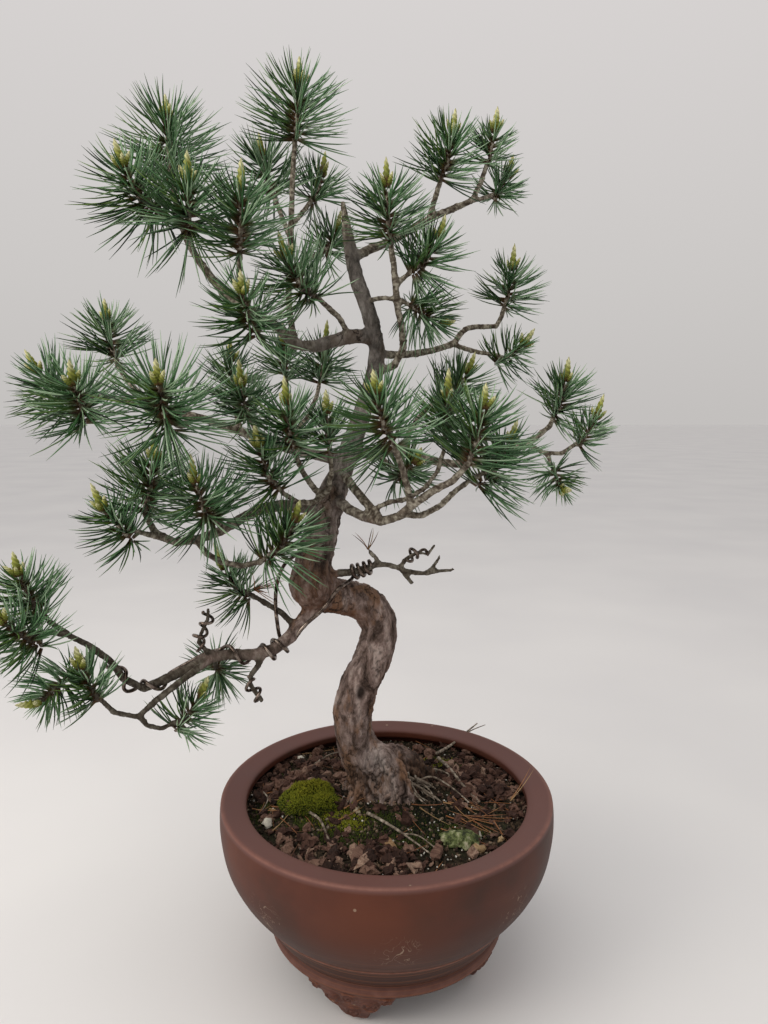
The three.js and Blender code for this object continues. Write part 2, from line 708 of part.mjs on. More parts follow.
const CLEAR_SIDE = 0.5; // angle round the low left branch that its forks leave free
const [lowLeft, , , , , , lowLeftCurl, lowLeftStub] = branches.branch_low_left;
const [lowRight, , lowRightCurl] = branches.branch_low_right_dead;
place('wire_low_left', wireThrough([
  [-66, 4, 316], [-74, -8, 311], [-78, -20, 300], [-78, -30, 286], [-76, -36, 274],
  ...turnsRound(lowLeft, 0.15, 0.23, 2, CLEAR_SIDE, WIRE_RADIUS),
  ...turnsRound(lowLeft, 0.25, 0.35, 1, CLEAR_SIDE, WIRE_RADIUS),
  ...turnsRound(lowLeft, 0.39, 0.5, 0, CLEAR_SIDE, WIRE_RADIUS),
  ...turnsRound(lowLeft, 0.52, 0.74, 2.5, CLEAR_SIDE, WIRE_RADIUS),
], WIRE_RADIUS), WIRE);
place('wire_low_right', wireThrough([
  [-62, -45, 268], [-56, -45, 276], [-46, -42, 284], [-39, -41, 292], [-34, -43, 300],
  ...turnsRound(lowRight, 0.24, 0.4, 3.6, 0.8, WIRE_RADIUS),
], WIRE_RADIUS), WIRE);
place('wire_curl_left', wireThrough(turnsRound(lowLeftCurl, 0.3, 0.95, 3, 0, 1), 1), WIRE);
place('wire_hanging', wireThrough(turnsRound(lowLeftStub, 0.45, 0.95, 2, 1, 1), 1), WIRE);
place('wire_curl_right', wireThrough(turnsRound(lowRightCurl, 0.25, 0.7, 2, 0, 1), 1), WIRE);

// ---- Whole tree: origin at the middle of the bottom of its box ----
const box = new THREE.Box3().setFromObject(bonsai);
const middle = box.getCenter(new THREE.Vector3());
bonsai.position.set(-middle.x, -middle.y, -box.min.z);

export default bonsai;
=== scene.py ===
import heapq
import math

import bpy
import numpy as np
from mathutils import Matrix, Vector, noise
from mathutils.bvhtree import BVHTree
from mathutils.kdtree import KDTree


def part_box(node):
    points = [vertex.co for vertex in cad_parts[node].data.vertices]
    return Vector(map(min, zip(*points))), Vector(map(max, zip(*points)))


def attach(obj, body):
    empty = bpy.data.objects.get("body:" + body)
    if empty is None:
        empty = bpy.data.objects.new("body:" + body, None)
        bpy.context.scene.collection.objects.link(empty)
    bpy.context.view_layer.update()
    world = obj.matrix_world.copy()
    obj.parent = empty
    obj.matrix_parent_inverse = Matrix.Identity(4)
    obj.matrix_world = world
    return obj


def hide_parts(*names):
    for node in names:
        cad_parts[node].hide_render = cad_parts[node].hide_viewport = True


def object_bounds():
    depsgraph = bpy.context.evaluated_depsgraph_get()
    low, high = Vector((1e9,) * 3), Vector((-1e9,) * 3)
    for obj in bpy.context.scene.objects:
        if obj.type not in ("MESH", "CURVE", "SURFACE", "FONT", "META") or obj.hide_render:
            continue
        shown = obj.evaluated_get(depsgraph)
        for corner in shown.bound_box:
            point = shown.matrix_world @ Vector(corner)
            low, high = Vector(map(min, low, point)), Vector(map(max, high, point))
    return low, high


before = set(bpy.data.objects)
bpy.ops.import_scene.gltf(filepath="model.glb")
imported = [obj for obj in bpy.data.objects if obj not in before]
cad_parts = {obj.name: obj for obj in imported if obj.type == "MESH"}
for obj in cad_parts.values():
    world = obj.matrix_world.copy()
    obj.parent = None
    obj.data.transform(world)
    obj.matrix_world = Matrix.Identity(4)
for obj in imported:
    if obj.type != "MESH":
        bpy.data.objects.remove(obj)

# A white pine grown as a bonsai, in a round unglazed pot. The file follows the bench: camera and light,
# then the pot and its drain mesh, the soil, the tree and its training wire, its shoots and needles, and the
# dressing on top.
MM = 0.001
cad_box = [list(corner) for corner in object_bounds()]

# ---- Camera, light and floor ----
# The camera stands half a metre in front of the pot at the height of the lower branches, and looks slightly
# down. The light is a broad soft panel overhead and a smaller one from the left, in a pale room over a pale
# floor.
pot_low, pot_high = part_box("pot")
AXIS = Vector(((pot_low.x + pot_high.x) / 2, (pot_low.y + pot_high.y) / 2, 0))
EYE = AXIS + Vector((-0.002, -0.535, 0.418))
LOOK_DOWN = 7.47

bpy.ops.object.camera_add(location=EYE, rotation=(math.radians(90 - LOOK_DOWN), 0, 0))
camera = bpy.context.object
camera.data.lens = 26
camera.data.sensor_width = 36
camera.data.clip_start = 0.02
bpy.context.scene.camera = camera


def soft_light(name, place, size, power, colour):
    """A square soft panel that faces the tree."""
    aim = AXIS + Vector((0, 0, 0.3)) - Vector(place)
    bpy.ops.object.light_add(type="AREA", location=place, rotation=aim.to_track_quat("-Z", "Y").to_euler())
    panel = bpy.context.object
    panel.name = name
    panel.data.size = size
    panel.data.energy = power
    panel.data.color = linear(colour)[:3]


def linear(colour):
    """A hex sRGB colour as linear red, green, blue and alpha."""
    parts = [int(colour[i:i + 2], 16) / 255 for i in (1, 3, 5)]
    return [c / 12.92 if c <= 0.04045 else ((c + 0.055) / 1.055) ** 2.4 for c in parts] + [1.0]


def put(material, kind, settings=None, links=None):
    """Adds one node, sets its properties and sockets, and links sockets to the outputs given."""
    node = material.node_tree.nodes.new("ShaderNode" + kind)
    for key, value in (settings or {}).items():
        if key == "stops":
            ramp = node.color_ramp.elements
            ramp.remove(ramp[1])
            ramp[0].position = value[0][0]
            ramp[0].color = linear(value[0][1])
            for position, colour in value[1:]:
                ramp.new(position).color = linear(colour)
        elif isinstance(key, str) and hasattr(node, key):
            setattr(node, key, value)
        else:
            node.inputs[key].default_value = value
    for key, socket in (links or {}).items():
        material.node_tree.links.new(socket, node.inputs[key])
    return node


def new_material(name):
    """An empty material."""
    material = bpy.data.materials.new(name)
    material.use_nodes = True
    material.node_tree.nodes.clear()
    return material


soft_light("overhead_panel", (AXIS.x - 0.3, -0.5, 1.75), 1.4, 10, "#fffaf5")
soft_light("left_panel", (AXIS.x - 1.2, -0.75, 1.0), 0.8, 9, "#fff6ec")

# The room: pale walls, a little darker towards the floor.
world = bpy.data.worlds.new("pale_room")
bpy.context.scene.world = world
world.use_nodes = True
world.node_tree.nodes.clear()
way_up = put(world, "SeparateXYZ", links={"Vector": put(world, "TexCoord").outputs["Generated"]})
wall = put(world, "ValToRGB", {"stops": [(0.0, "#c3c0be"), (0.16, "#cbc8c6"), (0.5, "#d8d4d3")]},
           {"Fac": way_up.outputs["Z"]})
put(world, "OutputWorld",
    links={"Surface": put(world, "Background", links={"Color": wall.outputs[0]}).outputs[0]})
bpy.context.scene.view_settings.view_transform = "Standard"

# Matte card: one pale grey, with faint cloudiness.
matte_card = new_material("matte_card")
cloud = put(matte_card, "TexNoise", {"Scale": 3, "Detail": 2},
            {"Vector": put(matte_card, "TexCoord").outputs["Object"]})
tint = put(matte_card, "ValToRGB", {"stops": [(0.3, "#dddddd"), (0.7, "#e4e4e3")]}, {"Fac": cloud.outputs[0]})
card = put(matte_card, "BsdfPrincipled", {"Roughness": 0.8}, {"Base Color": tint.outputs[0]})
put(matte_card, "OutputMaterial", links={"Surface": card.outputs[0]})

bpy.ops.object.select_all(action="DESELECT")
bpy.ops.mesh.primitive_plane_add(size=60, location=(0, 0, -0.0005))
floor = bpy.context.object
floor.name = "floor"
floor.data.materials.append(matte_card)

# ---- Pot ----
# A round bowl of unglazed red-brown stoneware, thrown on a wheel and burnished, with a flat lip turned in,
# a fine turned ridge at the waist and a foot ring. Four feet carved as cloud scrolls were luted on before
# firing.
RING_BAND = [(80, 31), (84, 30.6), (87.6, 31.6), (89.2, 34.2), (88.9, 37.8), (87.7, 40.2)]
LOW_WALL = [(87.7, 40.2), (90, 43.4), (92.6, 48), (95.6, 54), (98.9, 59.3)]
WAIST_RIDGE = [(98.9, 59.3), (100.2, 59.7), (100.9, 60.5), (100.8, 61.4)]
BOWL = [(100.8, 61.4), (107.5, 69), (115.5, 81), (122, 96), (125, 114), (125.3, 126), (124.7, 133.4)]
CREASE = [(124.7, 133.4), (124.3, 134.9), (122.8, 135.6)]
LIP = [(122.8, 135.6), (115.4, 134.4), (108, 133.4)]
LIP_EDGE = [(108, 133.4), (106.4, 132.8), (105.7, 131.2), (106, 127.5)]
INSIDE = [(106, 127.5), (114, 121), (115.5, 111), (112.5, 97), (107, 81), (99, 66), (90, 54), (80, 45)]
DRAIN_HOLE = 12
RING_THROAT = (78, 37)
UNDERSIDE = [(DRAIN_HOLE, 45), (DRAIN_HOLE, 37), RING_THROAT]
FOOT_OUTLINE = [(0, 0), (7.5, 0), (11, 1.5), (13.2, 5), (14.2, 8.5), (17, 11), (20.5, 13), (22.4, 17),
                (23.6, 21), (26.5, 22.6), (30.5, 23.4), (32.6, 26), (34, 31), (34, 34)]
FOOT_COUNT = 4
FOOT_TURN = -18
FOOT_DEPTH = 14
FOOT_TOP = 31
FOOT_LEAN = 0.5
SCROLL_PITCH = 3.3
CARVED_DEPTH = 4
SCROLLS = [(0, 9.5, 7.5, 1), (-14.5, 20, 8, -1), (14.5, 20, 8, 1), (0, 25, 7, -1), (-27, 27.5, 5.5, 1),
           (27, 27.5, 5.5, -1)]
RING_RADIUS = 87


def smooth_line(points, steps):
    """Points along a smooth curve through the points given."""
    ends = [points[0], *points, points[-1]]
    line = []
    for before, start, end, after in zip(ends, ends[1:], ends[2:], ends[3:]):
        for i in range(steps):
            t = i / steps
            line.append(tuple(
                0.5 * (2 * q + (r - p) * t + (2 * p - 5 * q + 4 * r - s) * t * t
                       + (3 * q - p - 3 * r + s) * t ** 3)
                for p, q, r, s in zip(before, start, end, after)))
    return line + [tuple(points[-1])]


def spun(name, profile, turns):
    """A profile of (radius, height) in millimetres, laid as a ring of points and spun round the axis."""
    bpy.ops.object.select_all(action="DESELECT")
    bpy.ops.mesh.primitive_circle_add(vertices=len(profile), radius=1)
    piece = bpy.context.object
    piece.name = name
    for vertex, (radius, height) in zip(piece.data.vertices, profile):
        vertex.co = AXIS + Vector((radius * MM, 0, height * MM))
    bpy.ops.object.mode_set(mode="EDIT")
    bpy.ops.mesh.select_all(action="SELECT")
    bpy.ops.mesh.spin(steps=turns, angle=2 * math.pi, center=AXIS, axis=(0, 0, 1))
    bpy.ops.mesh.select_all(action="SELECT")
    bpy.ops.mesh.remove_doubles(threshold=0.01 * MM)
    bpy.ops.mesh.delete_loose(use_verts=True, use_edges=True)
    bpy.ops.mesh.select_all(action="SELECT")
    bpy.ops.mesh.normals_make_consistent(inside=False)
    bpy.ops.object.mode_set(mode="OBJECT")
    return piece


def apply_modifier(piece, kind, **settings):
    """Adds one modifier with its settings and applies it."""
    bpy.ops.object.select_all(action="DESELECT")
    piece.select_set(True)
    bpy.context.view_layer.objects.active = piece
    modifier = piece.modifiers.new(kind.lower(), kind)
    for key, value in settings.items():
        setattr(modifier, key, value)
    bpy.ops.object.modifier_apply(modifier=modifier.name)


def points_of(piece):
    """The places of a mesh's points, as rows of three numbers."""
    places = np.empty(len(piece.data.vertices) * 3, np.float32)
    piece.data.vertices.foreach_get("co", places)
    return places.reshape(-1, 3).astype(float)


def move_points(piece, places):
    """Gives a mesh's points new places."""
    piece.data.vertices.foreach_set("co", np.asarray(places, np.float32).ravel())
    piece.data.update()


def smooth_shade(piece, degrees=180):
    """Smooth shading, with a crease where faces meet at more than an angle."""
    bpy.ops.object.select_all(action="DESELECT")
    piece.select_set(True)
    bpy.context.view_layer.objects.active = piece
    bpy.ops.object.shade_smooth_by_angle(angle=math.radians(degrees))


def paint(piece, name, values):
    """One number for each point of a mesh, which its material reads."""
    layer = piece.data.attributes.new(name, "FLOAT", "POINT")
    layer.data.foreach_set("value", np.asarray(values, np.float32))


def finish_piece(piece, material, slot, *stands_for):
    """Gives a piece its material and its body, and hides the nodes it stands for. The slot is not used."""
    piece.data.materials.clear()
    piece.data.materials.append(material)
    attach(piece, "root")
    if stands_for:
        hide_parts(*stands_for)


def bell(value, middle, width):
    """How near a value is to a middle: one there, falling to nothing past the width."""
    return np.exp(-((value - middle) / width) ** 2)


def scroll_depth(across, height):
    """How far a carved scroll stands out at a place on the foot's face, in millimetres."""
    depth = 0.0
    for middle, level, size, turn in SCROLLS:
        away = math.hypot(across - middle, height - level)
        if away < size:
            around = turn * math.atan2(height - level, across - middle) / (2 * math.pi)
            curl = 0.5 + 0.5 * math.cos(2 * math.pi * (away / SCROLL_PITCH - around))
            depth = max(depth, (0.25 + 1.5 * curl) * min(1, (size - away) / 1.6))
    return depth


def carved_foot():
    """One foot, standing at the front of the ring: its outline extruded, remeshed and carved."""
    outline = [(x, z) for x, z in FOOT_OUTLINE] + [(-x, z) for x, z in reversed(FOOT_OUTLINE[1:])]
    bpy.ops.object.select_all(action="DESELECT")
    bpy.ops.mesh.primitive_circle_add(vertices=len(outline), radius=1, fill_type="NGON")
    foot = bpy.context.object
    for vertex, (across, height) in zip(foot.data.vertices, outline):
        vertex.co = Vector((across, 0, height)) * MM
    bpy.ops.object.mode_set(mode="EDIT")
    bpy.ops.mesh.select_all(action="SELECT")
    bpy.ops.mesh.extrude_region_move(TRANSFORM_OT_translate={"value": (0, FOOT_DEPTH * MM, 0)})
    bpy.ops.mesh.select_all(action="SELECT")
    bpy.ops.mesh.normals_make_consistent(inside=False)
    bpy.ops.object.mode_set(mode="OBJECT")
    apply_modifier(foot, "BEVEL", width=1.6 * MM, segments=2, limit_method="ANGLE",
                   angle_limit=math.radians(50))
    apply_modifier(foot, "REMESH", mode="VOXEL", voxel_size=0.8 * MM)
    apply_modifier(foot, "SMOOTH", factor=0.5, iterations=3)
    places = points_of(foot) / MM
    moved = []
    for across, depth, height in places:
        outer = max(0.0, 1 - depth / CARVED_DEPTH)
        inset = FOOT_LEAN * max(0.0, FOOT_TOP - height)
        out = scroll_depth(across, height) * outer if height < 30 else 0
        rough = 0.35 * noise.fractal(Vector((across, depth, height)) / 5, 1, 2, 3)
        radius = RING_RADIUS - depth - inset + out + rough
        angle = across / RING_RADIUS
        moved.append((radius * math.sin(angle), -radius * math.cos(angle), max(0.0, height - 0.05)))
    move_points(foot, np.array(moved) * MM)
    return foot


profile = []
for stretch, steps in ((RING_BAND, 4), (LOW_WALL, 4), (WAIST_RIDGE, 3), (BOWL, 7), (CREASE, 3), (LIP, 3),
                       (LIP_EDGE, 3), (INSIDE, 4), (UNDERSIDE, 1)):
    profile += smooth_line(stretch, steps)[:-1]
profile.append(RING_THROAT)
pot = spun("pot_bowl", profile, 144)
first_foot = carved_foot()
for index in range(FOOT_COUNT):
    foot = first_foot.copy()
    foot.data = first_foot.data.copy()
    bpy.context.collection.objects.link(foot)
    turn = Matrix.Rotation(math.radians(FOOT_TURN + index * 360 / FOOT_COUNT), 4, "Z")
    foot.data.transform(Matrix.Translation(AXIS) @ turn)
    apply_modifier(pot, "BOOLEAN", operation="UNION", solver="EXACT", object=foot)
    bpy.data.objects.remove(foot)
bpy.data.objects.remove(first_foot)

# Wear: the crease, the ridge, the foot ring and the feet are rubbed pale.
places = (points_of(pot) - np.array(AXIS)) / MM
radius = np.hypot(places[:, 0], places[:, 1])
height = places[:, 2]
rubbed = (0.75 * bell(height, 135.0, 0.7) * (radius > 122) + 0.75 * bell(height, 60.6, 1.0) * (radius > 98)
          + 0.5 * bell(height, 36, 3.2) * (radius > 86) + 0.35 * (height < 30))
paint(pot, "rubbed", np.clip(rubbed, 0, 1))
smooth_shade(pot, 60)

# Unglazed stoneware: an iron-rich clay, burnished with a rib and fired to a satin red-brown. It shows fine
# turning lines, cloudy kiln marks, a warmer front, and a few specks and scratches of lime. Painted shade
# darkens the low wall, which faces down, and the right side, away from the light.
stoneware = new_material("unglazed_stoneware")
here = put(stoneware, "TexCoord").outputs["Object"]
on_axis = put(stoneware, "Mapping", {"Location": -AXIS}, {"Vector": here}).outputs[0]
level = put(stoneware, "SeparateXYZ", links={"Vector": on_axis})
kiln = put(stoneware, "TexNoise", {"Scale": 28, "Detail": 3, "Roughness": 0.55}, {"Vector": here})
clay = put(stoneware, "ValToRGB", {"stops": [(0.28, "#3f2216"), (0.5, "#4f281b"), (0.72, "#5a3122")]},
           {"Fac": kiln.outputs[0]})
# Painted shade: the low wall, which faces down, is darkened.
low = put(stoneware, "MapRange", {"From Min": 0.114, "From Max": 0.072, "To Max": 0.88},
          {"Value": level.outputs["Z"]})
low_shaded_clay = put(stoneware, "Mix", {"data_type": "RGBA", 7: linear("#33190f")},
                {0: low.outputs[0], 6: clay.outputs[0]})
warm_spot = put(stoneware, "VectorMath", {"operation": "DISTANCE", 1: (-0.005, -0.122, 0.108)}, {0: on_axis})
warm = put(stoneware, "MapRange", {"From Min": 0.062, "From Max": 0.012, "To Max": 0.6},
           {"Value": warm_spot.outputs["Value"]})
warm_clay = put(stoneware, "Mix", {"data_type": "RGBA", 7: linear("#5c2d18")},
                {0: warm.outputs[0], 6: low_shaded_clay.outputs[2]})
# Painted shade: the right side, away from the light, is darkened.
right_side = put(stoneware, "MapRange", {"From Min": 0.02, "From Max": 0.13, "To Max": 0.45},
                 {"Value": level.outputs["X"]})
right_shaded_clay = put(stoneware, "Mix", {"data_type": "RGBA", 7: linear("#38221b")},
                {0: right_side.outputs[0], 6: warm_clay.outputs[2]})
lip_gate = put(stoneware, "MapRange", {"From Min": 0.1315, "From Max": 0.1338, "To Max": 0.75},
               {"Value": level.outputs["Z"]})
lip_clay = put(stoneware, "Mix", {"data_type": "RGBA", 7: linear("#674742")},
               {0: lip_gate.outputs[0], 6: right_shaded_clay.outputs[2]})
ring_gate = put(stoneware, "MapRange", {"From Min": 0.0415, "From Max": 0.040, "To Max": 0.55},
                {"Value": level.outputs["Z"]})
ring_clay = put(stoneware, "Mix", {"data_type": "RGBA", 7: linear("#4a2820")},
                {0: ring_gate.outputs[0], 6: lip_clay.outputs[2]})
ring_height = put(stoneware, "Math", {"operation": "MULTIPLY", 1: 1 / (2.2 * MM)}, {0: level.outputs["Z"]})
bands = put(stoneware, "TexNoise", {"noise_dimensions": "1D", "Scale": 1, "Detail": 1},
            {"W": ring_height.outputs[0]})
band_gate = put(stoneware, "MapRange", {"From Min": 0.52, "From Max": 0.62, "To Max": 0.6},
                {"Value": bands.outputs[0]})
band_low = put(stoneware, "MapRange", {"From Min": 0.082, "From Max": 0.062}, {"Value": level.outputs["Z"]})
band_amount = put(stoneware, "Math", {"operation": "MULTIPLY"},
                  {0: band_gate.outputs[0], 1: band_low.outputs[0]})
banded_clay = put(stoneware, "Mix", {"data_type": "RGBA", 7: linear("#6b3c20")},
                  {0: band_amount.outputs[0], 6: ring_clay.outputs[2]})
wear = put(stoneware, "Attribute", {"attribute_name": "rubbed"})
patchy = put(stoneware, "TexNoise", {"Scale": 160, "Detail": 3}, {"Vector": here})
wear_amount = put(stoneware, "Math", {"operation": "MULTIPLY"},
                  {0: wear.outputs["Fac"], 1: patchy.outputs[0]})
worn_clay = put(stoneware, "Mix", {"data_type": "RGBA", 7: linear("#96685a")},
                {0: wear_amount.outputs[0], 6: banded_clay.outputs[2]})
lime = put(stoneware, "TexVoronoi", {"Scale": 62, "Randomness": 1.0}, {"Vector": here})
speck = put(stoneware, "MapRange", {"From Min": 0.075, "From Max": 0.05, "To Max": 0.6},
            {"Value": lime.outputs["Distance"]})
speck_here = put(stoneware, "TexNoise", {"Scale": 9, "Detail": 1}, {"Vector": here})
speck_gate = put(stoneware, "MapRange", {"From Min": 0.52, "From Max": 0.6}, {"Value": speck_here.outputs[0]})
speck_amount = put(stoneware, "Math", {"operation": "MULTIPLY"},
                   {0: speck.outputs[0], 1: speck_gate.outputs[0]})
scratch_spots = [put(stoneware, "VectorMath", {"operation": "DISTANCE", 1: spot},
                     {0: on_axis}).outputs["Value"]
                 for spot in ((-0.079, -0.093, 0.095), (0.007, -0.118, 0.088), (0.085, -0.088, 0.096))]
nearest_spot = put(stoneware, "Math", {"operation": "MINIMUM"}, {0: scratch_spots[0], 1: scratch_spots[1]})
nearest_spot = put(stoneware, "Math", {"operation": "MINIMUM"},
                   {0: nearest_spot.outputs[0], 1: scratch_spots[2]})
scratched = put(stoneware, "MapRange", {"From Min": 0.018, "From Max": 0.006},
                {"Value": nearest_spot.outputs[0]})
wandering = put(stoneware, "TexNoise", {"Scale": 75, "Detail": 2, "Distortion": 1.5}, {"Vector": here})
from_line = put(stoneware, "Math", {"operation": "SUBTRACT", 1: 0.5}, {0: wandering.outputs[0]})
from_line = put(stoneware, "Math", {"operation": "ABSOLUTE"}, {0: from_line.outputs[0]})
thin_line = put(stoneware, "MapRange", {"From Min": 0.011, "From Max": 0.003, "To Max": 0.6},
                {"Value": from_line.outputs[0]})
scratch = put(stoneware, "Math", {"operation": "MULTIPLY"},
              {0: thin_line.outputs[0], 1: scratched.outputs[0]})
lime_marks = put(stoneware, "Math", {"operation": "MAXIMUM"},
                 {0: speck_amount.outputs[0], 1: scratch.outputs[0]})
clay_colour = put(stoneware, "Mix", {"data_type": "RGBA", 7: linear("#a4907a")},
                  {0: lime_marks.outputs[0], 6: worn_clay.outputs[2]})
grain = put(stoneware, "TexNoise", {"Scale": 900, "Detail": 2}, {"Vector": here})
turning_height = put(stoneware, "Math", {"operation": "MULTIPLY", 1: 1 / (1.6 * MM)}, {0: level.outputs["Z"]})
turning = put(stoneware, "TexNoise", {"noise_dimensions": "1D", "Scale": 1, "Detail": 2},
              {"W": turning_height.outputs[0]})
relief = put(stoneware, "Math", {"operation": "ADD"}, {0: grain.outputs[0], 1: turning.outputs[0]})
bump = put(stoneware, "Bump", {"Strength": 0.35, "Distance": 0.12 * MM}, {"Height": relief.outputs[0]})
satin = put(stoneware, "MapRange", {"To Min": 0.5, "To Max": 0.68}, {"Value": kiln.outputs[0]})
shader = put(stoneware, "BsdfPrincipled", {"IOR": 1.5, "Specular IOR Level": 0.3},
             {"Base Color": clay_colour.outputs[2], "Roughness": satin.outputs[0], "Normal": bump.outputs[0]})
put(stoneware, "OutputMaterial", links={"Surface": shader.outputs[0]})
finish_piece(pot, stoneware, "stoneware", "pot")

# ---- Drain mesh and its clip ----
# A square of moulded plastic mesh over the drain hole, held by a loop of aluminium wire bent over below. The
# mesh keeps the soil in and lets the water out.

# Moulded polyethylene: black plastic with a soft shine, dulled by dust from the soil.
drain_plastic = new_material("moulded_black_polyethylene")
here = put(drain_plastic, "TexCoord").outputs["Object"]
dust = put(drain_plastic, "TexNoise", {"Scale": 300, "Detail": 3}, {"Vector": here})
dusty = put(drain_plastic, "ValToRGB", {"stops": [(0.45, "#191b19"), (0.7, "#3c372f")]},
            {"Fac": dust.outputs[0]})
bump = put(drain_plastic, "Bump", {"Strength": 0.3, "Distance": 0.1 * MM}, {"Height": dust.outputs[0]})
shader = put(drain_plastic, "BsdfPrincipled", {"IOR": 1.5, "Roughness": 0.5},
             {"Base Color": dusty.outputs[0], "Normal": bump.outputs[0]})
put(drain_plastic, "OutputMaterial", links={"Surface": shader.outputs[0]})

# Anodised aluminium: soft bonsai wire with a dyed brown skin, drawn smooth and dulled by rain and fingers.
bonsai_wire = new_material("brown_anodised_aluminium")
here = put(bonsai_wire, "TexCoord").outputs["Object"]
dull = put(bonsai_wire, "TexNoise", {"Scale": 220, "Detail": 3}, {"Vector": here})
dye = put(bonsai_wire, "ValToRGB", {"stops": [(0.35, "#3b312b"), (0.55, "#6e6158"), (0.75, "#a89c92")]},
          {"Fac": dull.outputs[0]})
skin = put(bonsai_wire, "MapRange", {"To Min": 0.16, "To Max": 0.38}, {"Value": dull.outputs[0]})
shader = put(bonsai_wire, "BsdfPrincipled", {"Metallic": 0.95},
             {"Base Color": dye.outputs[0], "Roughness": skin.outputs[0]})
put(bonsai_wire, "OutputMaterial", links={"Surface": shader.outputs[0]})

for node, material, slot in (("drain_mesh", drain_plastic, "mesh_plastic"),
                             ("drain_mesh_clip", bonsai_wire, "wire")):
    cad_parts[node].material_slots[0].material = material

# ---- Soil ----
# A gritty, acid mix filled to just under the lip and mounded to the trunk: a dark fine body with crumbs, and
# red-brown lumps of fired clay worked up to the top.
SOIL_EDGE = 121
SOIL_MIDDLE = 128
SOIL_RADIUS = 112.4
CRUMBS = 5200
LUMPS = 950


def soil_height(x, y):
    """Height of the soil in millimetres at a place measured from the pot's axis."""
    out = math.hypot(x, y) / SOIL_RADIUS
    mound = SOIL_EDGE + (SOIL_MIDDLE - SOIL_EDGE) * (1 - out ** 1.7)
    place = Vector((x, y, 0))
    return mound + (1.3 * noise.noise(place / 17) + 0.9 * noise.noise(place / 6)) * min(1, (1 - out) * 14)


profile = [(SOIL_RADIUS * step / 56, 125) for step in range(57)]
profile += [(114.6, 116), (115, 111), (112, 97), (106.5, 81), (98.5, 66), (89.5, 54), (79.5, 45.6), (0, 45.6)]
soil = spun("soil_body", profile, 132)
places = points_of(soil) / MM
for place in places:
    x, y = place[0] - AXIS.x / MM, place[1] - AXIS.y / MM
    if place[2] > 124:
        place[2] = soil_height(x, y)
move_points(soil, places * MM)
smooth_shade(soil)

# Loam: a dark, damp humus of peat and fine grit, matte, crumbled in specks of black, brown and a little tan.
loam = new_material("dark_potting_loam")
here = put(loam, "TexCoord").outputs["Object"]
crumb = put(loam, "TexNoise", {"Scale": 420, "Detail": 4, "Roughness": 0.7}, {"Vector": here})
damp = put(loam, "TexNoise", {"Scale": 45, "Detail": 2}, {"Vector": here})
earth = put(loam, "ValToRGB", {"stops": [(0.35, "#17130d"), (0.52, "#2b241a"), (0.66, "#4a3d2e")]},
            {"Fac": crumb.outputs[0]})
algae = put(loam, "MapRange", {"From Min": 0.5, "From Max": 0.62, "To Max": 0.6}, {"Value": damp.outputs[0]})
green_earth = put(loam, "Mix", {"data_type": "RGBA", 7: linear("#232a16")},
                  {0: algae.outputs[0], 6: earth.outputs[0]})
bump = put(loam, "Bump", {"Strength": 0.9, "Distance": 0.8 * MM}, {"Height": crumb.outputs[0]})
shader = put(loam, "BsdfPrincipled", {"Roughness": 0.95, "Specular IOR Level": 0.2},
             {"Base Color": green_earth.outputs[2], "Normal": bump.outputs[0]})
put(loam, "OutputMaterial", links={"Surface": shader.outputs[0]})
finish_piece(soil, loam, "soil", "soil")


def spread(name, models, placings, tones, craggy=False):
    """One piece made of many copies of small models: each copy has its own 4 x 4 placing and its own tone,
    which shifts its patch on the OFBake map, so that the material can colour it."""
    places, corners, starts, maps = [], [], [], []
    point_count = corner_count = 0
    for index, model in enumerate(models):
        mine = placings[index::len(models)]
        shift = tones[index::len(models)]
        mesh = model.data
        base = points_of(model)
        corner = np.empty(len(mesh.loops), np.int32)
        mesh.loops.foreach_get("vertex_index", corner)
        start = np.empty(len(mesh.polygons), np.int32)
        mesh.polygons.foreach_get("loop_start", start)
        patch = np.empty(len(mesh.loops) * 2, np.float32)
        mesh.uv_layers["OFBake"].data.foreach_get("uv", patch)
        count = len(mine)
        placed = np.einsum("nij,pj->npi", mine[:, :3, :3], base) + mine[:, None, :3, 3]
        order = np.arange(count)
        places.append(placed.reshape(-1, 3))
        corners.append((corner[None] + order[:, None] * len(base) + point_count).ravel())
        starts.append((start[None] + order[:, None] * len(corner) + corner_count).ravel())
        maps.append((patch.reshape(1, -1, 2) + shift[:, None]).reshape(-1, 2))
        point_count += count * len(base)
        corner_count += count * len(corner)
    mesh = bpy.data.meshes.new(name)
    mesh.vertices.add(point_count)
    mesh.loops.add(corner_count)
    mesh.polygons.add(sum(len(part) for part in starts))
    mesh.vertices.foreach_set("co", np.concatenate(places).astype(np.float32).ravel())
    mesh.loops.foreach_set("vertex_index", np.concatenate(corners).astype(np.int32))
    mesh.polygons.foreach_set("loop_start", np.concatenate(starts).astype(np.int32))
    mesh.uv_layers.new(name="OFBake").data.foreach_set("uv", np.concatenate(maps).astype(np.float32).ravel())
    mesh.update(calc_edges=True)
    if craggy:
        mesh.shade_flat()
    else:
        mesh.shade_smooth()
    piece = bpy.data.objects.new(name, mesh)
    bpy.context.collection.objects.link(piece)
    return piece


def turned_placings(rng, middles, sizes, flatten=1.0):
    """Placings at those middles with those sizes, each turned at random."""
    quats = rng.normal(size=(len(middles), 4))
    w, x, y, z = (quats / np.linalg.norm(quats, axis=1)[:, None]).T
    turns = np.array([[1 - 2 * (y * y + z * z), 2 * (x * y - z * w), 2 * (x * z + y * w)],
                      [2 * (x * y + z * w), 1 - 2 * (x * x + z * z), 2 * (y * z - x * w)],
                      [2 * (x * z - y * w), 2 * (y * z + x * w), 1 - 2 * (x * x + y * y)]]).transpose(2, 0, 1)
    placings = np.zeros((len(middles), 4, 4))
    placings[:, :3, :3] = turns * np.asarray(sizes)[:, None, None]
    placings[:, 2, :3] *= flatten
    placings[:, :3, 3] = middles
    placings[:, 3, 3] = 1
    return placings


TONES = 8


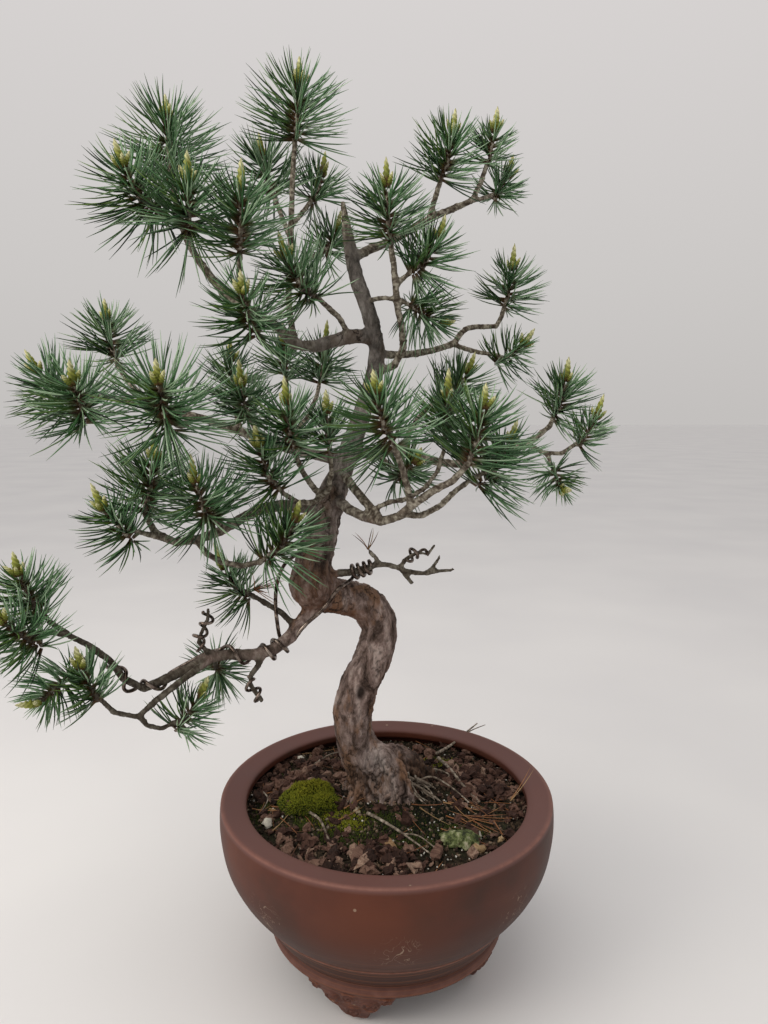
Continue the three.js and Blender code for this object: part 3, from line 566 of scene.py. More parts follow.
def grain_model(subdivisions, roughness, seed):
    """One stone or crumb a metre across, for copying small: an ico sphere knocked out of round. Its map is
    one patch of the tone chart."""
    bpy.ops.object.select_all(action="DESELECT")
    bpy.ops.mesh.primitive_ico_sphere_add(subdivisions=subdivisions, radius=0.5)
    model = bpy.context.object
    places = points_of(model)
    for place in places:
        way = Vector(place).normalized()
        broad = noise.noise(way * 1.1 + Vector((seed, 0, 0)))
        fine = noise.noise(way * 2.9 + Vector((0, seed, 0)))
        place *= 1 + roughness * (broad + 0.6 * fine)
    places *= (1, 0.85, 0.72)
    move_points(model, places)
    patch = model.data.uv_layers.active
    patch.name = "OFBake"
    for loop in model.data.loops:
        place = places[loop.vertex_index]
        patch.data[loop.index].uv = (place[0] * 0.07, place[2] * 0.07 + place[1] * 0.02)
    return model


def tone_shifts(rng, count):
    """A random patch of the tone chart for each copy."""
    return rng.integers(1, TONES, size=(count, 2)) / TONES


def scatter_places(rng, count, keep):
    """Places on the soil where keep(x, y) is larger than a random number, in millimetres from the axis."""
    found = []
    while len(found) < count:
        angle, out = rng.uniform(0, 2 * math.pi), SOIL_RADIUS * 0.985 * math.sqrt(rng.uniform())
        x, y = out * math.cos(angle), out * math.sin(angle)
        if rng.uniform() < keep(x, y):
            found.append((x, y))
    return found


def on_soil(places, sizes, sink):
    """Middles in metres of things that lie on the soil at those places, sunk by a share of their size."""
    return [AXIS + Vector((x, y, soil_height(x, y) + size * (0.5 - sink))) * MM
            for (x, y), size in zip(places, sizes)]


def lumpy_ground(x, y):
    """How many red-brown lumps lie at a place: most at the right, the left and along the front of the pot."""
    right = math.exp(-(((x - 78) / 26) ** 2 + ((y - 28) / 34) ** 2))
    left = math.exp(-(((x + 72) / 30) ** 2 + ((y - 30) / 40) ** 2))
    front = math.exp(-(((x + 22) / 52) ** 2 + ((y + 78) / 18) ** 2))
    return 0.05 + 0.9 * max(right, left, 0.9 * front)


def grain_material(name, stops, fine_scale, roughness):
    """Loose grains: each one takes a tone from its patch of the chart, with a fine mottle over it."""
    material = new_material(name)
    chart = put(material, "UVMap", {"uv_map": "OFBake"}).outputs[0]
    patch = put(material, "TexVoronoi", {"voronoi_dimensions": "2D", "Scale": TONES, "Randomness": 0.0},
                {"Vector": chart})
    tone = put(material, "SeparateColor", links={0: patch.outputs["Color"]})
    mottle = put(material, "TexNoise", {"noise_dimensions": "2D", "Scale": fine_scale, "Detail": 3},
                 {"Vector": chart})
    mixed = put(material, "Mix", {0: 0.4}, {2: tone.outputs[0], 3: mottle.outputs[0]})
    colour = put(material, "ValToRGB", {"stops": stops}, {"Fac": mixed.outputs[0]})
    bump = put(material, "Bump", {"Strength": 0.6, "Distance": 0.4 * MM}, {"Height": mottle.outputs[0]})
    shader = put(material, "BsdfPrincipled", {"Roughness": roughness, "Specular IOR Level": 0.25},
                 {"Base Color": colour.outputs[0], "Normal": bump.outputs[0]})
    put(material, "OutputMaterial", links={"Surface": shader.outputs[0]})
    return material


rng = np.random.default_rng(11)
crumb_models = [grain_model(1, 0.75, seed) for seed in (1.3, 5.7, 9.1)]
lump_models = [grain_model(2, 1.35, seed) for seed in (2.2, 4.4, 7.9, 12.5)]
sizes = 1.3 + 2.6 * rng.power(0.6, CRUMBS)
spots = scatter_places(rng, CRUMBS, lambda x, y: 1.0)
crumbs = spread("soil_crumbs", crumb_models, turned_placings(rng, on_soil(spots, sizes, 0.3), sizes * MM),
                tone_shifts(rng, CRUMBS))
# Crumbs: peat and fine grit, matte, black when damp and grey-brown when dry.
crumb_earth = grain_material("crumbled_peat_and_grit", [(0.2, "#15110b"), (0.45, "#2d251b"), (0.6, "#4a3b2e"),
                                                      (0.74, "#6d5a48"), (0.85, "#8f8676")], 60, 0.92)
finish_piece(crumbs, crumb_earth, "soil")

sizes = 2.6 + 7.0 * rng.power(0.5, LUMPS)
spots = scatter_places(rng, LUMPS, lumpy_ground)
lumps = spread("fired_clay_lumps", lump_models,
               turned_placings(rng, on_soil(spots, sizes, 0.12), sizes * MM, 0.8),
               tone_shifts(rng, LUMPS), craggy=True)
# Fired clay: broken, porous red-brown lumps, matte, with dark faces and a few bleached ones.
lump_clay = grain_material("fired_clay_lumps", [(0.2, "#1c120d"), (0.4, "#3a2720"), (0.56, "#553d33"),
                                              (0.72, "#745b4e"), (0.88, "#96806f")], 90, 0.9)
finish_piece(lumps, lump_clay, "soil")

# ---- Trunk and branches ----
# One piece of living wood: a bent trunk with grey-pink flaking bark and a root flare, and branches whose
# bark gets thinner and browner to ringed young shoots. The forks are grown together.
WOOD_VOXEL = 1.32
GROWN_TOGETHER = 0.3
BUD_BEHIND = 0.9
BUD_EVEN = 1.15
CUT_KNOT = Vector((-18.5, -13, 214.5))
BLEACHED = Vector((-6, -14, 152))
FIBROUS_MOUND = Vector((30, 18, 138))
KNUCKLE = Vector((-53, -21, 297))
NEW_GROWTH = 12
NEW_GROWTH_OVERLAP = 9
SHOOT_UPTURN = 0.8
THICKEST = 22
YOUNG_HALF = 3.0
OLD_HALF = 9.0
ROUNDING = 14
FURROW_APART = 6.5
FURROW_LONG = 17
FLAKE_WIDE = 4.2
FLAKE_TALL = 6.5
SCAR_RING = 1.5


def merged_copy(node):
    """A copy of a node with its loose triangles joined up."""
    piece = bpy.data.objects.new(node + "_copy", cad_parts[node].data.copy())
    bpy.context.collection.objects.link(piece)
    bpy.ops.object.select_all(action="DESELECT")
    piece.select_set(True)
    bpy.context.view_layer.objects.active = piece
    bpy.ops.object.mode_set(mode="EDIT")
    bpy.ops.mesh.select_all(action="SELECT")
    bpy.ops.mesh.remove_doubles(threshold=0.01 * MM)
    bpy.ops.object.mode_set(mode="OBJECT")
    return piece


def shoot_tips(piece):
    """The buds' points on a branch: the point of an even cone, with all its neighbours behind it. Gives each
    tip's place and the way it grows."""
    neighbours = [[] for _ in piece.data.vertices]
    for edge in piece.data.edges:
        a, b = edge.vertices
        neighbours[a].append(b)
        neighbours[b].append(a)
    tips = []
    for vertex in piece.data.vertices:
        ways = [piece.data.vertices[other].co - vertex.co for other in neighbours[vertex.index]]
        lengths = [way.length for way in ways]
        if len(ways) < 5 or max(lengths) > BUD_EVEN * min(lengths):
            continue
        behind = sum((way.normalized() for way in ways), Vector()) / len(ways)
        if behind.length > BUD_BEHIND:
            tips.append((vertex.co.copy(), -behind.normalized()))
    return tips


def evened(values, edges, rounds):
    """Values evened out along a mesh's edges."""
    a, b = edges[:, 0], edges[:, 1]
    count = np.maximum(np.bincount(edges.ravel(), minlength=len(values)), 1)
    for _ in range(rounds):
        total = np.bincount(a, values[b], len(values)) + np.bincount(b, values[a], len(values))
        values = 0.4 * values + 0.6 * total / count
    return values


def way_from_roots(places, edges):
    """How far each point is from the roots, along the wood's surface, in millimetres."""
    lengths = np.linalg.norm(places[edges[:, 0]] - places[edges[:, 1]], axis=1)
    links = [[] for _ in places]
    for (a, b), length in zip(edges.tolist(), lengths.tolist()):
        links[a].append((b, length))
        links[b].append((a, length))
    far = np.full(len(places), 1e9)
    waiting = []
    for start in np.flatnonzero(places[:, 2] < places[:, 2].min() + 1):
        far[start] = 0
        waiting.append((0.0, int(start)))
    heapq.heapify(waiting)
    while waiting:
        gone, point = heapq.heappop(waiting)
        if gone > far[point]:
            continue
        for other, length in links[point]:
            reach = gone + length
            if reach < far[other]:
                far[other] = reach
                heapq.heappush(waiting, (reach, other))
    return far


def half_thickness(piece, places, normals):
    """Half the wood's thickness under each point, in millimetres."""
    mesh = piece.data
    tree = BVHTree.FromPolygons([tuple(place) for place in places],
                                [tuple(face.vertices) for face in mesh.polygons])
    half = np.empty(len(places))
    for i, (place, normal) in enumerate(zip(places, normals)):
        inward = Vector(-normal)
        hit = tree.ray_cast(Vector(place) + 0.05 * inward, inward, 60)
        half[i] = 0.5 * hit[3] if hit[3] else 20
    return np.minimum(half, THICKEST)


def normals_of(piece):
    """The ways a mesh's points face, as rows of three numbers."""
    normals = np.empty(len(piece.data.vertices) * 3, np.float32)
    piece.data.vertex_normals.foreach_get("vector", normals)
    return normals.reshape(-1, 3).astype(float)


wood_nodes = ["trunk"] + sorted(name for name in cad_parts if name.startswith("branch_"))
copies = [merged_copy(node) for node in wood_nodes]
tips = [tip for piece in copies[1:] for tip in shoot_tips(piece)]
# Each shoot grows on past its bud's point for a short way inside its needles, and turns up if it doesn't
# hang.
for number, (tip, way) in enumerate(tips):
    if way.z > -0.3:
        way = (way + Vector((0, 0, SHOOT_UPTURN))).normalized()
    middle = tip + way * (NEW_GROWTH - NEW_GROWTH_OVERLAP) / 2 * MM
    bpy.ops.object.select_all(action="DESELECT")
    bpy.ops.mesh.primitive_cone_add(
        vertices=9, radius1=1.7 * MM, radius2=1.2 * MM, depth=(NEW_GROWTH + NEW_GROWTH_OVERLAP) * MM,
        location=middle, rotation=way.to_track_quat("Z", "Y").to_euler())
    bpy.ops.object.transform_apply(location=True, rotation=True, scale=True)
    copies.append(bpy.context.object)
    tips[number] = (tip + way * NEW_GROWTH * MM, way)
bpy.ops.object.select_all(action="DESELECT")
for piece in copies:
    piece.select_set(True)
wood = copies[0]
bpy.context.view_layer.objects.active = wood
bpy.ops.object.join()
wood.name = "trunk_and_branches"
apply_modifier(wood, "DISPLACE", strength=GROWN_TOGETHER * MM, mid_level=0)
apply_modifier(wood, "REMESH", mode="VOXEL", voxel_size=WOOD_VOXEL * MM)
apply_modifier(wood, "SMOOTH", factor=0.5, iterations=4)

bpy.ops.object.mode_set(mode="EDIT")
bpy.ops.mesh.select_all(action="SELECT")
bpy.ops.uv.smart_project(angle_limit=math.radians(66), island_margin=0.002)
bpy.ops.object.mode_set(mode="OBJECT")
wood.data.uv_layers.active.name = "OFBake"

places = (points_of(wood) - np.array(AXIS)) / MM
smooth_wood = KDTree(len(places))
for index, place in enumerate(places):
    smooth_wood.insert(place, index)
smooth_wood.balance()
smooth_places = places
edges = np.empty(len(wood.data.edges) * 2, np.int32)
wood.data.edges.foreach_get("vertices", edges)
edges = edges.reshape(-1, 2)
normals = normals_of(wood)
half = evened(half_thickness(wood, places, normals), edges, 12)
along = evened(way_from_roots(places, edges), edges, 12)
old = np.clip((half - YOUNG_HALF) / (OLD_HALF - YOUNG_HALF), 0, 1)
old = old * old * (3 - 2 * old)
# The thick trunk is rounder than its outline of flats: it is smoothed harder than the thin shoots.
for _ in range(ROUNDING):
    around = np.stack([evened(places[:, i], edges, 1) for i in range(3)], axis=1)
    places = places + (around - places) * old[:, None]
furrow = np.empty(len(places))
lift = np.empty(len(places))
for i, place in enumerate(places):
    spot = Vector(place)
    aged = old[i]
    root = max(0.0, min(1.0, 1 - (spot.z - 128) / 42))
    wander = Vector((noise.noise(spot / 9), noise.noise(spot / 9 + Vector((40, 0, 0))), 0)) * 5
    upright = Vector(((spot.x + wander.x) / FURROW_APART, (spot.y + wander.y) / FURROW_APART,
                      (spot.z + wander.y) / FURROW_LONG))
    crack = max(0.0, 1 - abs(noise.fractal(upright, 0.9, 2.0, 2)) / 0.13)
    fold_place = Vector(((spot.x + wander.x) / 15, (spot.y + wander.y) / 15, spot.z / 70))
    fold = root * max(0.0, 1 - abs(noise.noise(fold_place)) / 0.16)
    rough_patch = min(1, max(0, 0.3 + 1.3 * noise.noise(spot / 24) + 1.1 * root))
    flake_place = Vector((spot.x / FLAKE_WIDE, spot.y / FLAKE_WIDE, spot.z / FLAKE_TALL))
    flake = noise.fractal(flake_place, 0.7, 2.1, 3)
    flake += 0.45 * (round(flake * 3) / 3 - flake)
    chip = max(0.0, noise.noise(spot / 2.4 + Vector((0, 0, 9))) - 0.3)
    swell = noise.noise(spot / 17 + Vector((7, 0, 0)))
    ring = noise.noise(Vector((along[i] / SCAR_RING, 3, 0))) * (0.5 + noise.noise(spot / 8)) * (half[i] < 4.2)
    scar = max(0, noise.noise(spot / 4 + Vector((0, 31, 0))) - 0.2)
    from_knot = spot - CUT_KNOT
    knot = max(0.0, 1 - Vector((from_knot.x, from_knot.y, from_knot.z / 1.5)).length / 5)
    old_lift = 0.9 * swell + (0.4 + 0.5 * rough_patch) * flake + 0.8 * chip - 4.2 * fold
    old_lift -= crack * rough_patch * (0.9 + 1.4 * root)
    young_lift = 0.35 * ring + 1.1 * scar + 0.15 * flake
    lift[i] = 1.25 * aged * old_lift + (1 - aged) * young_lift - 2.6 * min(1, 2 * knot) * aged
    between_flakes = 1.2 * max(0, -flake - 0.35)
    furrow[i] = max(aged * crack * (0.35 + 0.65 * rough_patch), aged * between_flakes, 2 * knot, fold * aged)
bleached = np.exp(-(np.linalg.norm((places - np.array(BLEACHED)) / (11, 12, 19), axis=1)) ** 2)
fibrous = np.exp(-(np.linalg.norm((places - np.array(FIBROUS_MOUND)) / (22, 22, 22), axis=1)) ** 4)
# Painted shade: the undersides of the thick limbs up high are darkened orange-brown; the knuckle gets the
# same tint.
sheltered = np.clip(-normals[:, 2] - 0.1, 0, 1) * old * (places[:, 2] > 200)
from_knuckle = np.linalg.norm(places - np.array(KNUCKLE), axis=1) / 19
sheltered = np.maximum(sheltered, 0.6 * np.exp(-from_knuckle ** 4))
places = places + normals * lift[:, None]
move_points(wood, places * MM + np.array(AXIS))
paint(wood, "furrow", np.clip(furrow, 0, 1))
paint(wood, "half_thickness", half)
paint(wood, "along", along)
paint(wood, "bleached", bleached)
paint(wood, "fibrous", fibrous)
paint(wood, "sheltered", evened(sheltered, edges, 6))
smooth_shade(wood)

# Pine bark: grey-pink plates over darker furrows on the trunk, tan where flakes have come off, painted shade
# in orange-brown under the thick limbs with the same tint at the knuckle, bleached at the foot, going to thin
# grey-brown bark ringed by bud scars on the young shoots, which are darker low down from damp and painted
# shade.
bark = new_material("white_pine_bark")
here = put(bark, "TexCoord").outputs["Object"]
thick = put(bark, "Attribute", {"attribute_name": "half_thickness"})
crack = put(bark, "Attribute", {"attribute_name": "furrow"})
path = put(bark, "Attribute", {"attribute_name": "along"})
pale_foot = put(bark, "Attribute", {"attribute_name": "bleached"})
underside_shade_node = put(bark, "Attribute", {"attribute_name": "sheltered"})
stretched = put(bark, "Mapping", {"Scale": (1, 1, 0.45)}, {"Vector": here}).outputs[0]
plates = put(bark, "TexNoise", {"Scale": 95, "Detail": 7, "Roughness": 0.7, "Distortion": 0.4},
             {"Vector": stretched})
steps = put(bark, "Math", {"operation": "MULTIPLY", 1: 15}, {0: plates.outputs[0]})
layers = put(bark, "Math", {"operation": "ROUND"}, {0: steps.outputs[0]})
layer_tone = put(bark, "Math", {"operation": "DIVIDE", 1: 15}, {0: layers.outputs[0]})
flake_mix = put(bark, "Mix", {0: 0.35}, {2: layer_tone.outputs[0], 3: plates.outputs[0]})
old_bark = put(bark, "ValToRGB",
               {"stops": [(0.34, "#281e18"), (0.43, "#57473f"), (0.52, "#85726a"), (0.64, "#b6a59c")]},
               {"Fac": flake_mix.outputs[0]})
peeled = put(bark, "TexNoise", {"Scale": 40, "Detail": 4, "Roughness": 0.6}, {"Vector": stretched})
peeled_gate = put(bark, "MapRange", {"From Min": 0.52, "From Max": 0.58, "To Max": 0.75},
                  {"Value": peeled.outputs[0]})
tan_bark = put(bark, "Mix", {"data_type": "RGBA", 7: linear("#84634b")},
               {0: peeled_gate.outputs[0], 6: old_bark.outputs[0]})
level = put(bark, "SeparateXYZ", links={"Vector": here})
high = put(bark, "MapRange", {"From Min": 0.29, "From Max": 0.40, "To Max": 0.75},
           {"Value": level.outputs["Z"]})
grey_plates = put(bark, "ValToRGB", {"stops": [(0.32, "#3d3b37"), (0.5, "#6f6c67"), (0.7, "#9c9a95")]},
                  {"Fac": plates.outputs[0]})
grey_bark = put(bark, "Mix", {"data_type": "RGBA"},
                {0: high.outputs[0], 6: tan_bark.outputs[2], 7: grey_plates.outputs[0]})
# Painted shade under the thick limbs, and an orange-brown tint at the knuckle.
shadow_bark = put(bark, "Mix", {"data_type": "RGBA", 7: linear("#5c3618")},
                  {0: underside_shade_node.outputs["Fac"], 6: grey_bark.outputs[2]})
threads = put(bark, "ValToRGB", {"stops": [(0.35, "#1f1610"), (0.5, "#4b3527"), (0.68, "#7a6150")]},
              {"Fac": put(bark, "TexNoise", {"Scale": 330, "Detail": 3}, {"Vector": stretched}).outputs[0]})
mound = put(bark, "Attribute", {"attribute_name": "fibrous"})
root_bark = put(bark, "Mix", {"data_type": "RGBA"},
                {0: mound.outputs["Fac"], 6: shadow_bark.outputs[2], 7: threads.outputs[0]})
ash_grain = put(bark, "MapRange", {"From Min": 0.38, "From Max": 0.55}, {"Value": plates.outputs[0]})
ash_amount = put(bark, "Math", {"operation": "MULTIPLY"},
                 {0: pale_foot.outputs["Fac"], 1: ash_grain.outputs[0]})
ash_bark = put(bark, "Mix", {"data_type": "RGBA", 7: linear("#a8a29e")},
               {0: ash_amount.outputs[0], 6: root_bark.outputs[2]})
split = put(bark, "TexNoise", {"Scale": 70, "Detail": 4, "Roughness": 0.6}, {"Vector": stretched})
off_split = put(bark, "Math", {"operation": "SUBTRACT", 1: 0.5}, {0: split.outputs[0]})
off_split = put(bark, "Math", {"operation": "ABSOLUTE"}, {0: off_split.outputs[0]})
split_line = put(bark, "MapRange", {"From Min": 0.022, "From Max": 0.004}, {"Value": off_split.outputs[0]})
split_gate = put(bark, "MapRange", {"From Min": 0.45, "From Max": 0.6, "To Max": 0.85},
                 {"Value": peeled.outputs[0]})
split_amount = put(bark, "Math", {"operation": "MULTIPLY"},
                   {0: split_line.outputs[0], 1: split_gate.outputs[0]})
spotted = put(bark, "Mix", {"data_type": "RGBA", 7: linear("#241c17")},
              {0: split_amount.outputs[0], 6: ash_bark.outputs[2]})
scar_way = put(bark, "Math", {"operation": "MULTIPLY", 1: 1 / 1.8}, {0: path.outputs["Fac"]})
scars = put(bark, "TexNoise", {"noise_dimensions": "1D", "Scale": 1, "Detail": 1}, {"W": scar_way.outputs[0]})
streaks = put(bark, "TexNoise", {"Scale": 300, "Detail": 2}, {"Vector": here})
young_mix = put(bark, "Mix", {0: 0.8}, {2: scars.outputs[0], 3: streaks.outputs[0]})
young_bark = put(bark, "ValToRGB", {"stops": [(0.36, "#463c32"), (0.5, "#746b5e"), (0.64, "#aea797")]},
                 {"Fac": young_mix.outputs[0]})
# Painted shade, with some damp: the young shoots low down are darkened.
damp = put(bark, "MapRange", {"From Min": 0.36, "From Max": 0.29, "To Max": 0.75},
           {"Value": level.outputs["Z"]})
low_shaded_bark = put(bark, "Mix", {"data_type": "RGBA", 7: linear("#332d25")},
               {0: damp.outputs[0], 6: young_bark.outputs[0]})
age = put(bark, "MapRange", {"From Min": 3.0, "From Max": 4.8}, {"Value": thick.outputs["Fac"]})
whole = put(bark, "Mix", {"data_type": "RGBA"},
            {0: age.outputs[0], 6: low_shaded_bark.outputs[2], 7: spotted.outputs[2]})
deep = put(bark, "Math", {"operation": "MULTIPLY", 1: 0.95}, {0: crack.outputs["Fac"]})
furrowed = put(bark, "Mix", {"data_type": "RGBA", 7: linear("#241b15")},
               {0: deep.outputs[0], 6: whole.outputs[2]})
fibres = put(bark, "TexNoise", {"Scale": 520, "Detail": 3, "Roughness": 0.65}, {"Vector": here})
flake_edges = put(bark, "Math", {"operation": "MULTIPLY", 1: 0.22}, {0: layers.outputs[0]})
grain = put(bark, "Math", {"operation": "ADD"}, {0: fibres.outputs[0], 1: flake_edges.outputs[0]})
relief = put(bark, "Math", {"operation": "SUBTRACT"}, {0: grain.outputs[0], 1: split_amount.outputs[0]})
bump = put(bark, "Bump", {"Strength": 0.9, "Distance": 0.7 * MM}, {"Height": relief.outputs[0]})
shader = put(bark, "BsdfPrincipled", {"Roughness": 0.88, "Specular IOR Level": 0.25},
             {"Base Color": furrowed.outputs[2], "Normal": bump.outputs[0]})
put(bark, "OutputMaterial", links={"Surface": shader.outputs[0]})
finish_piece(wood, bark, "bark", *wood_nodes)

# ---- Training wire ----
# Soft aluminium wire coiled round the two low branches to set their bends; a free run of each passes close by
# the trunk. Three short coils of thinner wire sit on thin twigs.
for node in sorted(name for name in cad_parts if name.startswith("wire_")):
    wire = merged_copy(node)
    wire.name = node + "_drawn"
    apply_modifier(wire, "SUBSURF", levels=2, render_levels=2)
    apply_modifier(wire, "DISPLACE", strength=0.3 * MM, mid_level=0)
    smooth_shade(wire)
    finish_piece(wire, bonsai_wire, "wire", node)

# ---- Shoots: needles ----
# Each shoot ends in a burst of needles, in bundles of five with blue-white lines on their inner sides. The
# youngest bundles slant up round the candles and the oldest, a few centimetres back, stand straight out.
NEEDLE_TONES = 16
NEEDLE_WIDTH = 1.1
NEEDLE_BEND = 5.5
BUNDLE = 5
NEEDLE_LENGTH = {
    "low_left_tip": 32, "low_left_back": 33, "low_left_under": 26, "low_left_front": 26,
    "low_left_drop": 27, "low_inner": 30, "mid_left": 39, "mid_left_side": 30, "mid_left_loop": 37,
    "whorl_low": 34, "whorl_left": 31, "whorl_upper": 28, "left_big": 48, "far_left": 38,
    "far_left_upper": 35, "left_rear": 33, "centre_rear": 30, "front_centre": 40, "front_right": 40,
    "front_inner": 30, "far_right": 32, "far_right_side": 23, "right_inner": 36, "back_right": 31,
    "back_right_low": 26, "right_vertical": 36, "right_vertical_side": 34, "right_short": 31,
    "upper_right": 35, "upper_right_tip": 24, "top_left": 44, "left_shoulder": 42, "upper_centre": 41,
    "leader": 41, "leader_side": 28, "upper_rear": 37, "shoulder": 37,
}
BUNDLES_PER_LENGTH = 0.86
LEAFY_SHARE = 0.85
GOLDEN_TURN = math.radians(137.5)


def cut_in_rings(model, rings):
    """Cuts a cone or cylinder a metre long into rings along its length."""
    bpy.ops.object.mode_set(mode="EDIT")
    bpy.ops.mesh.select_all(action="DESELECT")
    bpy.ops.mesh.select_mode(type="EDGE")
    bpy.ops.object.mode_set(mode="OBJECT")
    for edge in model.data.edges:
        ends = [model.data.vertices[i].co.z for i in edge.vertices]
        edge.select = abs(ends[0] - ends[1]) > 0.5
    bpy.ops.object.mode_set(mode="EDIT")
    bpy.ops.mesh.subdivide(number_cuts=rings - 1)
    bpy.ops.object.mode_set(mode="OBJECT")
    bpy.ops.object.transform_apply(location=True, rotation=True, scale=True)


def needle_model():
    """One needle a metre long and about a millimetre wide: a three-sided spike cut in four, wide at its
    sheath, tapered to a point and bent. Its map has one strip for each side."""
    bpy.ops.object.select_all(action="DESELECT")
    bpy.ops.mesh.primitive_cone_add(vertices=3, radius1=0.5, radius2=0.1, depth=1, location=(0, 0, 0.5))
    model = bpy.context.object
    cut_in_rings(model, 4)
    places = points_of(model)
    sides = np.degrees(np.arctan2(places[:, 1], places[:, 0]))
    height = places[:, 2]
    width = 0.5 * NEEDLE_WIDTH * MM * np.interp(height, [0, 0.25, 0.5, 0.75, 1], [1.9, 1.0, 1.05, 0.85, 0.12])
    places[:, 0] = width * np.cos(np.radians(sides)) + NEEDLE_BEND * MM * height ** 2
    places[:, 1] = width * np.sin(np.radians(sides))
    if not model.data.uv_layers:
        model.data.uv_layers.new()
    chart = model.data.uv_layers.active
    chart.name = "OFBake"
    strip = 1 / (3 * NEEDLE_TONES)
    corners = sorted(set(np.round(sides).tolist()))
    for face in model.data.polygons:
        own = [sides[i] for i in face.vertices]
        flat = len({round(float(height[i]), 3) for i in face.vertices}) == 1
        kinds = sorted({min(range(3), key=lambda k: abs(corners[k] - side)) for side in own})
        side_index = {(0, 1): 0, (1, 2): 1, (0, 2): 2}.get(tuple(kinds), 0)
        for loop in face.loop_indices:
            point = model.data.loops[loop].vertex_index
            kind = min(range(3), key=lambda k: abs(corners[k] - sides[point]))
            across = 0.5 if flat else (0.2 if kind == kinds[0] else 0.8)
            chart.data[loop].uv = ((side_index + across) * strip, 0.02 + 0.96 * float(height[point]))
    move_points(model, places)
    return model


def shoot_line(tip, way):
    """The shoot's middle line from its tip backwards, a point every 4 mm, found from the wood around it."""
    line = [Vector(tip)]
    back = -Vector(way)
    for _ in range(10):
        guess = line[-1] + back * 4
        close = [smooth_places[i] for _, i, _ in smooth_wood.find_range(guess, 3.6)]
        if len(close) > 6:
            guess = Vector(np.mean(close, axis=0))
        step = (guess - line[-1]).normalized()
        back = (0.5 * back + 0.5 * step).normalized()
        line.append(line[-1] + back * 4)
    return line


def square_to(ways):
    """Two sideways directions at right angles to each way."""
    helper = np.where(np.abs(ways[:, 2:3]) < 0.9, np.array([[0, 0, 1.0]]), np.array([[1.0, 0, 0]]))
    first = np.cross(ways, helper)
    first /= np.linalg.norm(first, axis=1)[:, None]
    return first, np.cross(ways, first)


def needle_placings(rng, tip, way, length):
    """Placings of a shoot's needles: bundles set in a spiral down the shoot, five needles to each. The
    needles curl a little towards the shoot's end."""
    bundles = round(length * BUNDLES_PER_LENGTH)
    leafy = length * LEAFY_SHARE
    line = shoot_line(tip, way)
    gone = 1 + leafy * (np.arange(bundles) + rng.uniform(0, 0.9, bundles)) / bundles
    step = np.minimum((gone / 4).astype(int), len(line) - 2)
    share = (gone / 4 - step)[:, None]
    points = np.array(line)
    foot = points[step] * (1 - share) + points[step + 1] * share
    axis = points[step] - points[step + 1]
    axis /= np.linalg.norm(axis, axis=1)[:, None]
    age = gone / leafy
    lean = np.radians(50 + 43 * age ** 0.7 + rng.normal(0, 9, bundles))
    round_way = GOLDEN_TURN * np.arange(bundles) + rng.normal(0, 0.3, bundles)
    first, second = square_to(axis)
    out = np.cos(round_way)[:, None] * first + np.sin(round_way)[:, None] * second
    bundle = np.cos(lean)[:, None] * axis + np.sin(lean)[:, None] * out
    bundle[:, 2] += 0.08
    bundle /= np.linalg.norm(bundle, axis=1)[:, None]
    foot = foot + out * 0.8
    first, second = square_to(bundle)
    placings = []
    for index in range(BUNDLE):
        turn = 2 * math.pi * index / BUNDLE + rng.uniform(0, 1.2, bundles)
        spread_out = np.tan(np.radians(rng.uniform(5, 19, bundles)))[:, None]
        run = bundle + spread_out * (np.cos(turn)[:, None] * first + np.sin(turn)[:, None] * second)
        run /= np.linalg.norm(run, axis=1)[:, None]
        curl = axis - (axis * run).sum(axis=1)[:, None] * run
        curl /= np.linalg.norm(curl, axis=1)[:, None] + 1e-9
        roll = rng.normal(0, 0.6, bundles)[:, None]
        curl = np.cos(roll) * curl + np.sin(roll) * np.cross(run, curl)
        long = length * rng.uniform(0.8, 1.08, bundles) * (0.6 + 0.4 * np.minimum(1, age * 2.2))
        placing = np.zeros((bundles, 4, 4))
        placing[:, :3, 0] = curl
        placing[:, :3, 1] = np.cross(run, curl)
        placing[:, :3, 2] = run * (long * MM)[:, None]
        placing[:, :3, 3] = foot * MM + np.array(AXIS)
        placing[:, 3, 3] = 1
        placings.append(placing)
    return kept_inside(np.concatenate(placings))


def kept_inside(placings):
    """Shortens the few needles that would reach out past the room round the tree."""
    low, high = (np.array(corner) for corner in cad_box)
    room = 0.03 * (high - low) + 8 * MM
    foot, run = placings[:, :3, 3], placings[:, :3, 2]
    with np.errstate(divide="ignore"):
        share = np.where(run > 0, (high + room - foot) / run, (low - room - foot) / run).min(axis=1)
    placings[:, :3, 2] *= np.clip(share, 0.3, 1)[:, None]
    return placings


def stood(foot, way, width, length, roll=0.0):
    """A placing that stands a model a metre long at a foot in millimetres from the axis, along a way, with
    its width times a factor and its length in millimetres."""
    turn = Vector(way).to_track_quat("Z", "Y").to_matrix() @ Matrix.Rotation(roll, 3, "Z")
    placing = np.eye(4)
    placing[:3, :3] = np.array(turn) @ np.diag((width, width, length * MM))
    placing[:3, 3] = np.array(foot) * MM + np.array(AXIS)
    return placing


def strip_shifts(rng, count, band=(0, NEEDLE_TONES)):
    """A random strip of the tone chart for each copy, out of a band of them."""
    shifts = np.zeros((count, 2))
    shifts[:, 0] = rng.integers(*band, count) / NEEDLE_TONES
    return shifts


def strip_tone(material):
    """Reads the tone chart: the place on it, the strips counted across, and each copy's own random tone."""
    place = put(material, "SeparateXYZ",
                links={"Vector": put(material, "UVMap", {"uv_map": "OFBake"}).outputs[0]})
    across = put(material, "Math", {"operation": "MULTIPLY", 1: NEEDLE_TONES}, {0: place.outputs["X"]})
    strip = put(material, "Math", {"operation": "FLOOR"}, {0: across.outputs[0]})
    return place, across, put(material, "TexWhiteNoise", {"noise_dimensions": "1D"}, {"W": strip.outputs[0]})


